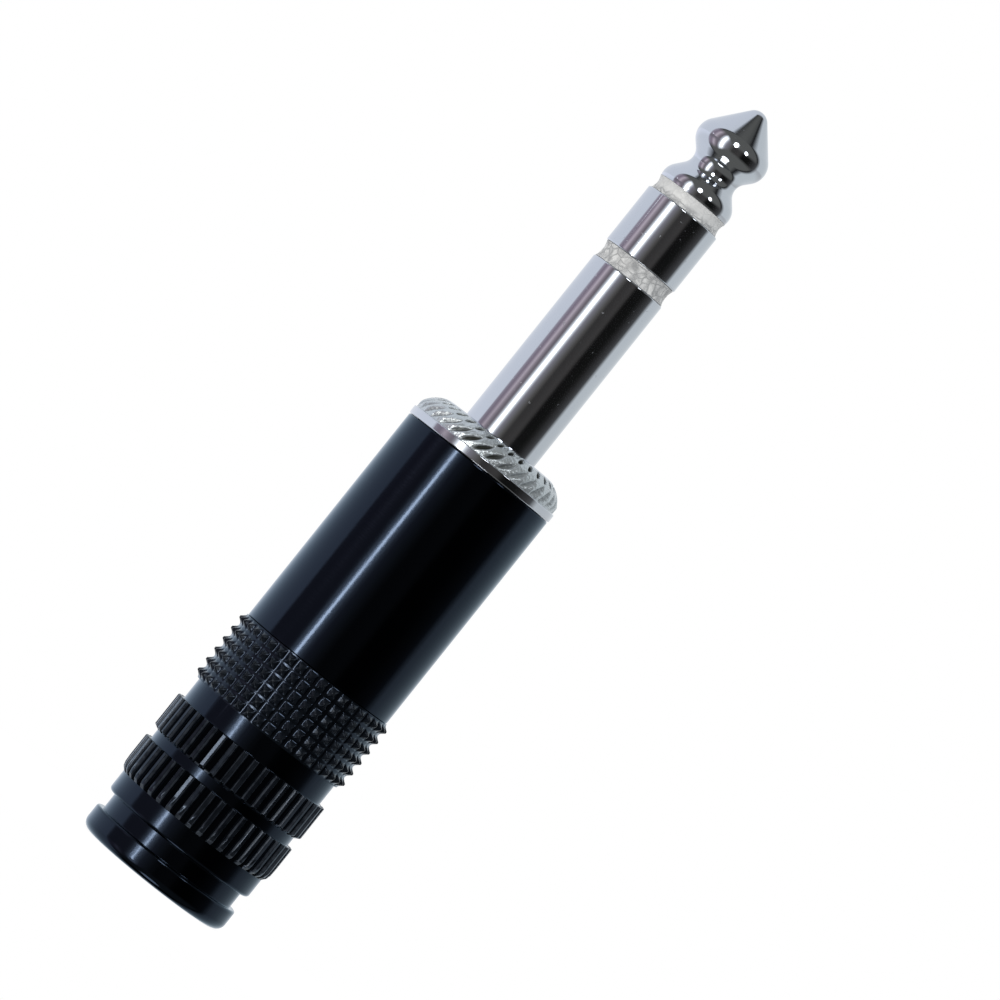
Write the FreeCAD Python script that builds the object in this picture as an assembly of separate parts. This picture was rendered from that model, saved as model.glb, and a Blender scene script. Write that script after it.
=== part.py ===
"""Three-pole 6.35 mm jack plug with a screw-on knurled barrel.

Lengths are millimetres. The plug stands on its flat rear end: the origin is the centre of
the rear face and +Z runs along the axis to the tip. All axial positions are heights above
the rear face. Rounded sections are turned profiles revolved about Z; the knurls, the collar
serrations and the folded lugs are cut or built on afterwards.
"""
import math
import os

import FreeCAD
import Part

# fits and small edges
SLIDE_FIT = 0.05            # radial play of the liner and of the screwed neck
NEST_FIT = 0.01             # radial play between the pressed parts of the contact stack
SEAT_GAP = 0.02             # collar to barrel face when screwed home
EDGE = 0.10                 # small edge break

# finger, named from the collar to the tip
FINGER_R = 3.175            # 6.35 mm finger
SLEEVE_LENGTH = 15.13
RING_INSULATOR_LENGTH = 1.44
RING_INSULATOR_R = 3.12
RING_INSULATOR_WAIST_R = 2.945
RING_LENGTH = 5.06
TIP_INSULATOR_LENGTH = 1.18
TIP_INSULATOR_R = 3.08
TIP_INSULATOR_WAIST_R = 2.88
TIP_INSULATOR_WAIST_SHARE = 0.58

# tip: shoulder, waist arc, ball arc, cone and nose, heights above the tip's back face
SHOULDER_R = 3.05
SHOULDER_ROUND = 0.32
WAIST_RISE = 2.49
WAIST_R = 2.00
WAIST_ARC = 1.05
BALL_RISE = 4.61
BALL_R = 3.03
BALL_ARC = 1.50
CONE_HALF_ANGLE = 39.9
NOSE_ARC = 1.00

# contact stack, inside
ROD_R = 0.90
ROD_SOCKET_DEPTH = 4.00     # blind socket in the back of the tip
ROD_TUBE_R = 1.32
RING_TUBE_R = 1.90
LINING_R = 2.35             # bore of the sleeve
TIP_SPIGOT_R = 1.60         # spigot of the tip insulator in the ring
TIP_SPIGOT_LENGTH = 1.40
RING_SPIGOT_R = 2.60        # spigot of the ring insulator in the sleeve
RING_SPIGOT_LENGTH = 1.45
RING_SOCKET_LENGTH = 3.00   # length of ring tube held in the ring
BUSH_R = 3.60
BUSH_FLANGE = 1.00
BUSH_SPIGOT_R = 2.90
BUSH_SPIGOT_LENGTH = 2.60
SEPARATOR_R = 2.60
SEPARATOR_THICK = 0.90
FLARE_R = 2.45
FLARE_THICK = 0.35
RIVET_R = 1.55
RIVET_THICK = 0.60

# collar and neck
COLLAR_LENGTH = 2.52
COLLAR_BAND_R = 6.56
COLLAR_BAND_LENGTH = 0.70
DOME_R = 6.40
DOME_RISE = 1.20            # height above the collar's rear face where the dome turns in
DOME_ARC = 2.50
DOME_FACE_R = 4.75
SERRATIONS = 35
SERRATION_DEPTH = 0.22
SERRATION_LENGTH = 4.00
SERRATION_HALF_ANGLE = 50.0
SERRATION_LEAN = 47.0       # from the axis
SERRATION_TILT = 14.0       # follows the dome's slope
SERRATION_RISE = 1.28       # height of the cuts' middle above the collar's rear face
THREAD_R = 5.30
THREAD_PITCH = 0.75
THREAD_TURNS = 8
RELIEF_R = 4.70
RELIEF_LENGTH = 0.80
RELIEF_SLOPE = 0.25
TAIL_R = 4.50               # spigot that carries the liner
TAIL_LENGTH = 1.80

# lugs
LUG_THICK = 0.50
SLEEVE_LUG_R = 4.10
RING_LUG_R = 3.10
RING_FOLD_R = 2.80          # inner face of the ring lug's tongue
TIP_LUG_R = 2.40
TIP_FOLD_R = 2.10
TONGUE_WIDTH = 2.40
RING_TONGUE_LENGTH = 7.20
TIP_TONGUE_LENGTH = 6.40
RING_TONGUE_ANGLE = 20.0
TIP_TONGUE_ANGLE = 160.0
WIRE_HOLE_R = 0.60
WIRE_HOLE_INSET = 1.60
STRIP_WIDTH = 3.60
STRIP_REAR_GAP = 6.20       # from the barrel's rear wall to the strip's end
STRIP_HOLE_STEP = 2.20      # wire hole above the upper ear
EAR_LENGTH = 3.80
EAR_GAP = 1.00
EAR_TURN = 205.0            # degrees wrapped by the crimp ears in all

# liner and barrel, lengths named from the rear face to the front
LINER_WALL = 0.40
LINER_REAR_GAP = 0.40
LINER_FRONT_GAP = 0.50
BARREL_LENGTH = 38.78
BARREL_R = 6.50
BORE_CHAMFER = 0.45
BORE_STEP_GAP = 0.40        # thread bore runs this far past the neck
BORE_STEP_SLOPE = 0.30
BARREL_FRONT_EDGE = 0.12
REAR_WALL = 3.20
CABLE_HOLE_R = 3.25
CABLE_HOLE_FLARE = 0.60
END_RING_R = 6.47
END_RING_LENGTH = 2.10
END_RING_ROUND = 1.05
GROOVE_R = 5.93
GROOVE_LENGTH = 1.20
REAR_BAND_R = 6.50
REAR_BAND_LENGTH = 1.73
REAR_BAND_ROUND = 0.50
KNURL_2_LENGTH = 3.11
KNURL_2_CHAMFER = 0.55
GAP_R = 6.425
GAP_LENGTH = 0.81
KNURL_1_LENGTH = 3.01
KNURL_1_CHAMFER = 0.25
PLAIN_R = 6.37
PLAIN_LENGTH = 1.84
KNURL_R = 6.87
KNURL_DEPTH = 0.40
KNURL_ROOT = 0.05           # the teeth reach this far into the plain radius
FLUTES = 42
KNURL_TURN = 2.3            # first tooth of the straight knurls, degrees from +X
CROSS_TURN = 4.9            # first stud of each row, degrees from +X
RIDGE_SHARE = 0.24          # part of the pitch that is ridge top
FLOOR_SHARE = 0.44          # part of the pitch that is groove floor
CROSS_R = 6.93
CROSS_ROW = 0.985
CROSS_ROWS = 6
STUD_TOP_SHARE = 0.24
STUD_DEPTH = 0.36
CROSS_FLOOR_SHARE = 0.16    # part of a row that is groove floor

# derived radii
LINER_R = TAIL_R + SLIDE_FIT + LINER_WALL
BORE_R = LINER_R + SLIDE_FIT
THREAD_BORE_R = THREAD_R + SLIDE_FIT
KNURL_CORE_R = 0.5 * (BORE_R + PLAIN_R)
KNURL_BODY_R = PLAIN_R - KNURL_ROOT

# derived heights on the barrel
GROOVE_END_Z = END_RING_LENGTH + GROOVE_LENGTH
KNURL_2_Z = GROOVE_END_Z + REAR_BAND_LENGTH
KNURL_2_END_Z = KNURL_2_Z + KNURL_2_LENGTH
KNURL_1_Z = KNURL_2_END_Z + GAP_LENGTH
KNURL_1_END_Z = KNURL_1_Z + KNURL_1_LENGTH
CROSS_Z = KNURL_1_END_Z + PLAIN_LENGTH
CROSS_END_Z = CROSS_Z + CROSS_ROW * CROSS_ROWS
LINER_START_Z = REAR_WALL + LINER_REAR_GAP

# derived heights on the collar and the finger
COLLAR_Z = BARREL_LENGTH + SEAT_GAP
COLLAR_BAND_END_Z = COLLAR_Z + COLLAR_BAND_LENGTH
DOME_Z = COLLAR_Z + DOME_RISE
FINGER_Z = COLLAR_Z + COLLAR_LENGTH
SLEEVE_END_Z = FINGER_Z + SLEEVE_LENGTH
RING_START_Z = SLEEVE_END_Z + RING_INSULATOR_LENGTH
RING_END_Z = RING_START_Z + RING_LENGTH
TIP_Z = RING_END_Z + TIP_INSULATOR_LENGTH

# derived heights behind the collar
NECK_END_Z = COLLAR_Z - RELIEF_LENGTH - THREAD_PITCH * THREAD_TURNS
NECK_REAR_Z = NECK_END_Z - TAIL_LENGTH
BUSH_END_Z = NECK_REAR_Z + BUSH_SPIGOT_LENGTH
SLEEVE_LUG_Z = NECK_REAR_Z - LUG_THICK
BUSH_Z = SLEEVE_LUG_Z - BUSH_FLANGE
RING_LUG_Z = BUSH_Z - LUG_THICK
FLARE_Z = RING_LUG_Z - FLARE_THICK
SEPARATOR_Z = FLARE_Z - SEPARATOR_THICK
TIP_LUG_Z = SEPARATOR_Z - LUG_THICK
RIVET_Z = TIP_LUG_Z - RIVET_THICK


def vec(x, y, z):
    """A point or direction."""
    return FreeCAD.Vector(x, y, z)


def rz(r, z):
    """A point of a turned profile: radius r at height z."""
    return vec(r, 0, z)


def revolve(edges):
    """Solid of revolution about Z from the closed chain of edges."""
    face = Part.Face(Part.Wire(edges))
    solid = face.revolve(vec(0, 0, 0), vec(0, 0, 1), 360)
    return Part.Solid(solid.Shells[0]) if solid.ShapeType != "Solid" else solid


def line(a, b):
    """Straight edge between two (r, z) points."""
    return Part.makeLine(rz(*a), rz(*b))


def arc(a, middle, b):
    """Circular edge through three (r, z) points."""
    return Part.Arc(rz(*a), rz(*middle), rz(*b)).toShape()


def turned(points):
    """Solid of revolution from a closed polygon of (r, z) points."""
    closed = points + [points[0]]
    return revolve([line(a, b) for a, b in zip(closed, closed[1:])])


def tube(r_out, r_in, z0, z1, edge=0.0):
    """Plain tube between heights z0 and z1, with its outer edges broken if asked."""
    if edge <= 0:
        return turned([(r_in, z0), (r_out, z0), (r_out, z1), (r_in, z1)])
    return turned([
        (r_in, z0), (r_out - edge, z0), (r_out, z0 + edge),
        (r_out, z1 - edge), (r_out - edge, z1), (r_in, z1),
    ])


def on_circle(centre, radius, degrees):
    """Point of a profile circle, the angle counted from the +R direction towards +Z."""
    a = math.radians(degrees)
    return (centre[0] + radius * math.cos(a), centre[1] + radius * math.sin(a))


def turn(shape, degrees):
    """The shape turned about the plug's axis."""
    copy = shape.copy()
    copy.rotate(vec(0, 0, 0), vec(0, 0, 1), degrees)
    return copy


def prism(outline, height, z0):
    """Vertical prism from a closed outline of (x, y) points."""
    points = [vec(x, y, z0) for x, y in outline]
    face = Part.Face(Part.makePolygon(points + [points[0]]))
    return face.extrude(vec(0, 0, height))


# finger
def make_tip():
    """Tip contact: shoulder, cone into the waist, ball, 40 degree cone and round nose."""
    slope = math.tan(math.radians(CONE_HALF_ANGLE))
    waist_centre = (WAIST_R + WAIST_ARC, TIP_Z + WAIST_RISE)
    ball_centre = (BALL_R - BALL_ARC, TIP_Z + BALL_RISE)

    # back flank: leaves the waist arc at the same slope as the front cone
    back = on_circle(waist_centre, WAIST_ARC, 180.0 + CONE_HALF_ANGLE)
    corner_z = back[1] - (SHOULDER_R - back[0]) / slope
    shoulder = (SHOULDER_R, corner_z - SHOULDER_ROUND)
    flank = (SHOULDER_R - SHOULDER_ROUND * slope, corner_z + SHOULDER_ROUND)
    bulge = (SHOULDER_R - 0.18 * SHOULDER_ROUND, corner_z + 0.10 * SHOULDER_ROUND)

    # front flank: common inner tangent of the waist arc and the ball arc
    dr = ball_centre[0] - waist_centre[0]
    dz = ball_centre[1] - waist_centre[1]
    base = math.degrees(math.atan2(dz, dr))
    swing = math.degrees(math.acos((WAIST_ARC + BALL_ARC) / math.hypot(dr, dz)))
    front = on_circle(waist_centre, WAIST_ARC, base + swing)
    rise = on_circle(ball_centre, BALL_ARC, base + swing - 180.0)

    # the nose sits where its arc touches the cone that leaves the ball
    cos_a = math.cos(math.radians(CONE_HALF_ANGLE))
    sin_a = math.sin(math.radians(CONE_HALF_ANGLE))
    cone = cos_a * ball_centre[0] + sin_a * ball_centre[1] + BALL_ARC
    nose_centre = (0.0, (cone - NOSE_ARC) / sin_a)
    cone_top = on_circle(ball_centre, BALL_ARC, CONE_HALF_ANGLE)
    nose_start = on_circle(nose_centre, NOSE_ARC, CONE_HALF_ANGLE)
    nose_mid = on_circle(nose_centre, NOSE_ARC, 0.5 * (CONE_HALF_ANGLE + 90.0))
    nose = (0.0, nose_centre[1] + NOSE_ARC)

    socket_r = ROD_R + NEST_FIT
    socket_z = TIP_Z + ROD_SOCKET_DEPTH
    drill = (0.0, socket_z + 0.5 * socket_r)
    edges = [
        line((socket_r, TIP_Z), (SHOULDER_R - EDGE, TIP_Z)),
        line((SHOULDER_R - EDGE, TIP_Z), (SHOULDER_R, TIP_Z + EDGE)),
        line((SHOULDER_R, TIP_Z + EDGE), shoulder),
        arc(shoulder, bulge, flank),
        line(flank, back),
        arc(back, (WAIST_R, waist_centre[1]), front),
        line(front, rise),
        arc(rise, (BALL_R, ball_centre[1]), cone_top),
        line(cone_top, nose_start),
        arc(nose_start, nose_mid, nose),
        line(nose, drill),
        line(drill, (socket_r, socket_z)),
        line((socket_r, socket_z), (socket_r, TIP_Z)),
    ]
    return revolve(edges)


def make_tip_rod():
    """Steel pin from the tip's socket to the riveted end behind the tip lug."""
    top = TIP_Z + ROD_SOCKET_DEPTH - NEST_FIT
    crown = (0.55 * RIVET_R, RIVET_Z)
    cheek = (0.90 * RIVET_R, RIVET_Z + RIVET_THICK / 3)
    rim = (RIVET_R, TIP_LUG_Z - RIVET_THICK / 5)
    edges = [
        line((0, RIVET_Z), crown),
        arc(crown, cheek, rim),
        line(rim, (RIVET_R, TIP_LUG_Z)),
        line((RIVET_R, TIP_LUG_Z), (ROD_R, TIP_LUG_Z)),
        line((ROD_R, TIP_LUG_Z), (ROD_R, top - EDGE)),
        line((ROD_R, top - EDGE), (ROD_R - EDGE, top)),
        line((ROD_R - EDGE, top), (0, top)),
        line((0, top), (0, RIVET_Z)),
    ]
    return revolve(edges)


def make_tip_insulator():
    """White collar between ring and tip, with a spigot in the front of the ring."""
    bore = ROD_R + NEST_FIT
    spigot_z = RING_END_Z - TIP_SPIGOT_LENGTH
    waist = (TIP_INSULATOR_WAIST_R, RING_END_Z + TIP_INSULATOR_WAIST_SHARE * TIP_INSULATOR_LENGTH)
    edges = [
        line((bore, spigot_z), (TIP_SPIGOT_R, spigot_z)),
        line((TIP_SPIGOT_R, spigot_z), (TIP_SPIGOT_R, RING_END_Z)),
        line((TIP_SPIGOT_R, RING_END_Z), (TIP_INSULATOR_R, RING_END_Z)),
        arc((TIP_INSULATOR_R, RING_END_Z), waist, (TIP_INSULATOR_R - EDGE, TIP_Z)),
        line((TIP_INSULATOR_R - EDGE, TIP_Z), (bore, TIP_Z)),
        line((bore, TIP_Z), (bore, spigot_z)),
    ]
    return revolve(edges)


def make_ring():
    """Ring contact: bored for the ring tube at the back and the spigot at the front."""
    tube_seat = RING_START_Z + RING_SOCKET_LENGTH
    spigot_seat = RING_END_Z - TIP_SPIGOT_LENGTH
    through = ROD_TUBE_R + NEST_FIT
    return turned([
        (RING_TUBE_R + NEST_FIT, RING_START_Z),
        (FINGER_R - EDGE, RING_START_Z),
        (FINGER_R, RING_START_Z + EDGE),
        (FINGER_R, RING_END_Z - EDGE),
        (FINGER_R - EDGE, RING_END_Z),
        (TIP_SPIGOT_R + NEST_FIT, RING_END_Z),
        (TIP_SPIGOT_R + NEST_FIT, spigot_seat),
        (through, spigot_seat),
        (through, tube_seat),
        (RING_TUBE_R + NEST_FIT, tube_seat),
    ])


def make_ring_tube():
    """Tube that carries the ring and is flared over behind the ring lug."""
    bore = ROD_TUBE_R + NEST_FIT
    top = RING_START_Z + RING_SOCKET_LENGTH
    return turned([
        (bore, FLARE_Z),
        (FLARE_R, FLARE_Z),
        (FLARE_R, RING_LUG_Z),
        (RING_TUBE_R, RING_LUG_Z),
        (RING_TUBE_R, top),
        (bore, top),
    ])


def make_rod_tube():
    """Insulating tube round the rod, from the tip insulator to the lug separator."""
    return tube(ROD_TUBE_R, ROD_R + NEST_FIT, FLARE_Z, RING_END_Z - TIP_SPIGOT_LENGTH)


def make_ring_insulator():
    """White collar between sleeve and ring, with a spigot in the front of the sleeve."""
    bore = RING_TUBE_R + NEST_FIT
    spigot_z = SLEEVE_END_Z - RING_SPIGOT_LENGTH
    waist = (RING_INSULATOR_WAIST_R, 0.5 * (SLEEVE_END_Z + RING_START_Z))
    edges = [
        line((bore, spigot_z), (RING_SPIGOT_R, spigot_z)),
        line((RING_SPIGOT_R, spigot_z), (RING_SPIGOT_R, SLEEVE_END_Z)),
        line((RING_SPIGOT_R, SLEEVE_END_Z), (RING_INSULATOR_R, SLEEVE_END_Z)),
        arc((RING_INSULATOR_R, SLEEVE_END_Z), waist, (RING_INSULATOR_R, RING_START_Z)),
        line((RING_INSULATOR_R, RING_START_Z), (bore, RING_START_Z)),
        line((bore, RING_START_Z), (bore, spigot_z)),
    ]
    return revolve(edges)


def make_ring_tube_liner():
    """Insulating tube between the ring tube and the sleeve bore."""
    top = SLEEVE_END_Z - RING_SPIGOT_LENGTH
    return tube(LINING_R - NEST_FIT, RING_TUBE_R + NEST_FIT, BUSH_END_Z, top)


# sleeve body
def serration_cutter():
    """One straight V-shaped cut laid aslant across the collar dome at angle zero."""
    rise = 3.0 * SERRATION_DEPTH
    half = rise * math.tan(math.radians(SERRATION_HALF_ANGLE))
    outline = [vec(0, 0, 0), vec(rise, -half, 0), vec(rise, half, 0)]
    wedge = Part.Face(Part.makePolygon(outline + [outline[0]])).extrude(vec(0, 0, SERRATION_LENGTH))
    wedge.translate(vec(0, 0, -0.5 * SERRATION_LENGTH))
    wedge.rotate(vec(0, 0, 0), vec(1, 0, 0), -SERRATION_LEAN)
    wedge.rotate(vec(0, 0, 0), vec(0, 1, 0), -SERRATION_TILT)
    wedge.translate(vec(DOME_R - SERRATION_DEPTH, 0, COLLAR_Z + SERRATION_RISE))
    dome_zone = tube(2 * COLLAR_BAND_R, 0.5 * (FINGER_R + DOME_FACE_R), COLLAR_BAND_END_Z, 2 * FINGER_Z)
    return wedge.common(dome_zone)


def dome_middle():
    """Middle point of the dome's arc, from its two ends and its radius."""
    dr = DOME_FACE_R - DOME_R
    dz = FINGER_Z - DOME_Z
    chord = math.hypot(dr, dz)
    bulge = DOME_ARC - math.sqrt(DOME_ARC ** 2 - (0.5 * chord) ** 2)
    return (DOME_R + 0.5 * dr + bulge * dz / chord, DOME_Z + 0.5 * dz - bulge * dr / chord)


def make_sleeve_body():
    """Finger sleeve, domed serrated collar, threaded neck and tail spigot, in one piece."""
    counterbore = RING_SPIGOT_R + NEST_FIT
    counterbore_z = SLEEVE_END_Z - RING_SPIGOT_LENGTH
    rear_bore = BUSH_SPIGOT_R + NEST_FIT
    bevel = 0.5 * THREAD_PITCH
    relief_z = COLLAR_Z - RELIEF_LENGTH
    before_dome = [
        (DOME_R, DOME_Z),
        (DOME_R, COLLAR_BAND_END_Z),
        (COLLAR_BAND_R, COLLAR_BAND_END_Z - EDGE),
        (COLLAR_BAND_R, COLLAR_Z + EDGE),
        (COLLAR_BAND_R - EDGE, COLLAR_Z),
        (RELIEF_R, COLLAR_Z),
        (RELIEF_R, relief_z + RELIEF_SLOPE),
        (THREAD_R, relief_z),
        (THREAD_R, NECK_END_Z + bevel),
        (THREAD_R - bevel, NECK_END_Z),
        (TAIL_R, NECK_END_Z),
        (TAIL_R, NECK_REAR_Z + EDGE),
        (TAIL_R - EDGE, NECK_REAR_Z),
        (rear_bore, NECK_REAR_Z),
        (rear_bore, BUSH_END_Z),
        (LINING_R, BUSH_END_Z),
        (LINING_R, counterbore_z),
        (counterbore, counterbore_z),
        (counterbore, SLEEVE_END_Z),
        (FINGER_R - EDGE, SLEEVE_END_Z),
        (FINGER_R, SLEEVE_END_Z - EDGE),
        (FINGER_R, FINGER_Z),
        (DOME_FACE_R, FINGER_Z),
    ]
    edges = [line(a, b) for a, b in zip(before_dome, before_dome[1:])]
    edges.append(arc(before_dome[-1], dome_middle(), before_dome[0]))
    cutter = serration_cutter()
    return revolve(edges).cut([turn(cutter, 360.0 * i / SERRATIONS) for i in range(SERRATIONS)])


# insulators and lugs at the back
def make_rear_bush():
    """Stepped bush that keeps the ring tube and ring lug off the neck."""
    return turned([
        (RING_TUBE_R + NEST_FIT, BUSH_Z),
        (BUSH_R, BUSH_Z),
        (BUSH_R, SLEEVE_LUG_Z),
        (BUSH_SPIGOT_R, SLEEVE_LUG_Z),
        (BUSH_SPIGOT_R, BUSH_END_Z),
        (RING_TUBE_R + NEST_FIT, BUSH_END_Z),
    ])


def make_lug_separator():
    """Insulating washer between the flared ring tube and the tip lug."""
    return tube(SEPARATOR_R, ROD_R + NEST_FIT, SEPARATOR_Z, FLARE_Z, 0.5 * EDGE)


def across(radius, offset, z):
    """Round cutter that crosses a tongue from inside to outside at height z."""
    return Part.makeCylinder(radius, 4 * LUG_THICK, vec(offset - LUG_THICK, 0, z), vec(1, 0, 0))


def tongue(top_z, length, offset):
    """Flat solder tongue with a rounded end and a wire hole, running rearwards from top_z."""
    end_z = top_z - length
    half = 0.5 * TONGUE_WIDTH
    blade = Part.makeBox(LUG_THICK, TONGUE_WIDTH, length - half, vec(offset, -half, end_z + half))
    end = across(half, offset, end_z + half).common(
        Part.makeBox(LUG_THICK, TONGUE_WIDTH, TONGUE_WIDTH, vec(offset, -half, end_z)))
    return blade.fuse(end).cut(across(WIRE_HOLE_R, offset, end_z + WIRE_HOLE_INSET))


def lug(plate_r, bore_r, plate_z, length, fold_r, angle):
    """Solder lug: round plate, web out to the fold and a tongue along the axis."""
    half = 0.5 * TONGUE_WIDTH
    plate = tube(plate_r, bore_r, plate_z, plate_z + LUG_THICK)
    web = Part.makeBox(fold_r + LUG_THICK, TONGUE_WIDTH, LUG_THICK, vec(0, -half, plate_z))
    core = Part.makeCylinder(bore_r, 4 * LUG_THICK, vec(0, 0, plate_z - LUG_THICK))
    blade = tongue(plate_z + LUG_THICK, length, fold_r)
    return plate.fuse([turn(web.cut(core), angle), turn(blade, angle)]).removeSplitter()


def make_ring_lug():
    """Solder lug clamped between the bush and the flare of the ring tube."""
    bore = RING_TUBE_R + NEST_FIT
    return lug(RING_LUG_R, bore, RING_LUG_Z, RING_TONGUE_LENGTH, RING_FOLD_R, RING_TONGUE_ANGLE)


def make_tip_lug():
    """Solder lug clamped by the riveted end of the rod."""
    bore = ROD_R + NEST_FIT
    return lug(TIP_LUG_R, bore, TIP_LUG_Z, TIP_TONGUE_LENGTH, TIP_FOLD_R, TIP_TONGUE_ANGLE)


def make_sleeve_lug():
    """Earth lug: washer on the neck, long curved strip and two crimp ears for the cable."""
    outer = SLEEVE_LUG_R
    inner = SLEEVE_LUG_R - LUG_THICK
    half = math.degrees(0.5 * STRIP_WIDTH / outer)
    plate = tube(outer, BUSH_SPIGOT_R + NEST_FIT, SLEEVE_LUG_Z, NECK_REAR_Z)
    strip_end_z = REAR_WALL + STRIP_REAR_GAP
    strip = arc_strip(outer, inner, half, strip_end_z, NECK_REAR_Z)
    upper_ear_z = strip_end_z + EAR_LENGTH + EAR_GAP
    ears = [
        arc_strip(outer, inner, 0.5 * EAR_TURN, z0, z0 + EAR_LENGTH)
        for z0 in (strip_end_z, upper_ear_z)
    ]
    hole_z = upper_ear_z + EAR_LENGTH + STRIP_HOLE_STEP
    hole = Part.makeCylinder(WIRE_HOLE_R, 2 * outer, vec(0, 0, hole_z), vec(0, -1, 0))
    return plate.fuse([strip] + ears).removeSplitter().cut(hole)


def arc_strip(r_out, r_in, half_angle, z0, z1):
    """Piece of a thin tube centred on the -Y side, wrapping half_angle each way."""
    start = -90.0 - half_angle
    sector = Part.makeCylinder(r_out, z1 - z0, vec(0, 0, z0), vec(0, 0, 1), 2 * half_angle)
    core = Part.makeCylinder(r_in, 2 * (z1 - z0), vec(0, 0, z0 - 0.5 * (z1 - z0)))
    return turn(sector.cut(core), start)


# liner and barrel
def make_liner():
    """Clear insulating tube between the lugs and the barrel."""
    top = NECK_END_Z - LINER_FRONT_GAP
    return tube(LINER_R, TAIL_R + SLIDE_FIT, LINER_START_Z, top, 0.5 * EDGE)


def flute_outline(top_r, share_top, share_floor, depth):
    """Closed (x, y) outline of a ring of teeth with flat tops, sloped flanks and flat floors."""
    pitch = 2 * math.pi / FLUTES
    corners = [
        (-0.5 * share_top, top_r),
        (0.5 * share_top, top_r),
        (0.5 * (1 - share_floor), top_r - depth),
    ]
    if share_floor > 0:
        corners.append((0.5 * (1 + share_floor), top_r - depth))
    return [
        (r * math.cos((i + share) * pitch), r * math.sin((i + share) * pitch))
        for i in range(FLUTES)
        for share, r in corners
    ]


def faceted_stack(levels):
    """Solid with one flat side per tooth at each of its (flat radius, height) levels."""
    pitch = 2 * math.pi / FLUTES
    rings = []
    for r, z in levels:
        corner = r / math.cos(0.5 * pitch)
        angles = [(i + 0.5) * pitch for i in range(FLUTES + 1)]
        rings.append([vec(corner * math.cos(a), corner * math.sin(a), z) for a in angles])
    faces = [Part.Face(Part.makePolygon(rings[0])), Part.Face(Part.makePolygon(rings[-1]))]
    for low, high in zip(rings, rings[1:]):
        for i in range(FLUTES):
            side = [low[i], low[i + 1], high[i + 1], high[i], low[i]]
            faces.append(Part.Face(Part.makePolygon(side)))
    return Part.Solid(Part.Shell(faces))


def hollowed(teeth, z0, z1):
    """The ring of teeth without its core, which the barrel itself fills."""
    return teeth.cut(Part.makeCylinder(KNURL_CORE_R, 2 * (z1 - z0), vec(0, 0, z0 - 0.5 * (z1 - z0))))


def straight_knurl(z0, z1, rear_chamfer):
    """Ring of straight flutes, its rear edge chamfered."""
    outline = flute_outline(KNURL_R, RIDGE_SHARE, FLOOR_SHARE, KNURL_DEPTH)
    teeth = prism(outline, z1 - z0, z0)
    over = KNURL_R + EDGE
    envelope = faceted_stack([(KNURL_R - KNURL_DEPTH, z0), (over, z0 + rear_chamfer), (over, z1)])
    return turn(hollowed(teeth.common(envelope), z0, z1), KNURL_TURN)


def cross_knurl():
    """Rows of square studs: straight V flutes crossed by narrow-floored grooves round the barrel."""
    outline = flute_outline(CROSS_R, STUD_TOP_SHARE, 0.0, STUD_DEPTH)
    floor_r = CROSS_R - STUD_DEPTH
    levels = [(floor_r, CROSS_Z)]
    for row in range(CROSS_ROWS):
        z = CROSS_Z + CROSS_ROW * row
        levels += [
            (floor_r, z + 0.5 * CROSS_FLOOR_SHARE * CROSS_ROW),
            (CROSS_R, z + 0.5 * (1 - STUD_TOP_SHARE) * CROSS_ROW),
            (CROSS_R, z + 0.5 * (1 + STUD_TOP_SHARE) * CROSS_ROW),
            (floor_r, z + (1 - 0.5 * CROSS_FLOOR_SHARE) * CROSS_ROW),
        ]
    levels.append((floor_r, CROSS_END_Z))
    teeth = prism(outline, CROSS_END_Z - CROSS_Z, CROSS_Z)
    studs = hollowed(teeth.common(faceted_stack(levels)), CROSS_Z, CROSS_END_Z)
    return turn(studs, CROSS_TURN)


def round_corner(r, z, radius):
    """Quarter-round rear edge of a cylinder: start on the face, middle and end on the wall."""
    inset = radius * (1 - math.sqrt(0.5))
    return arc((r - radius, z), (r - inset, z + inset), (r, z + radius))


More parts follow.
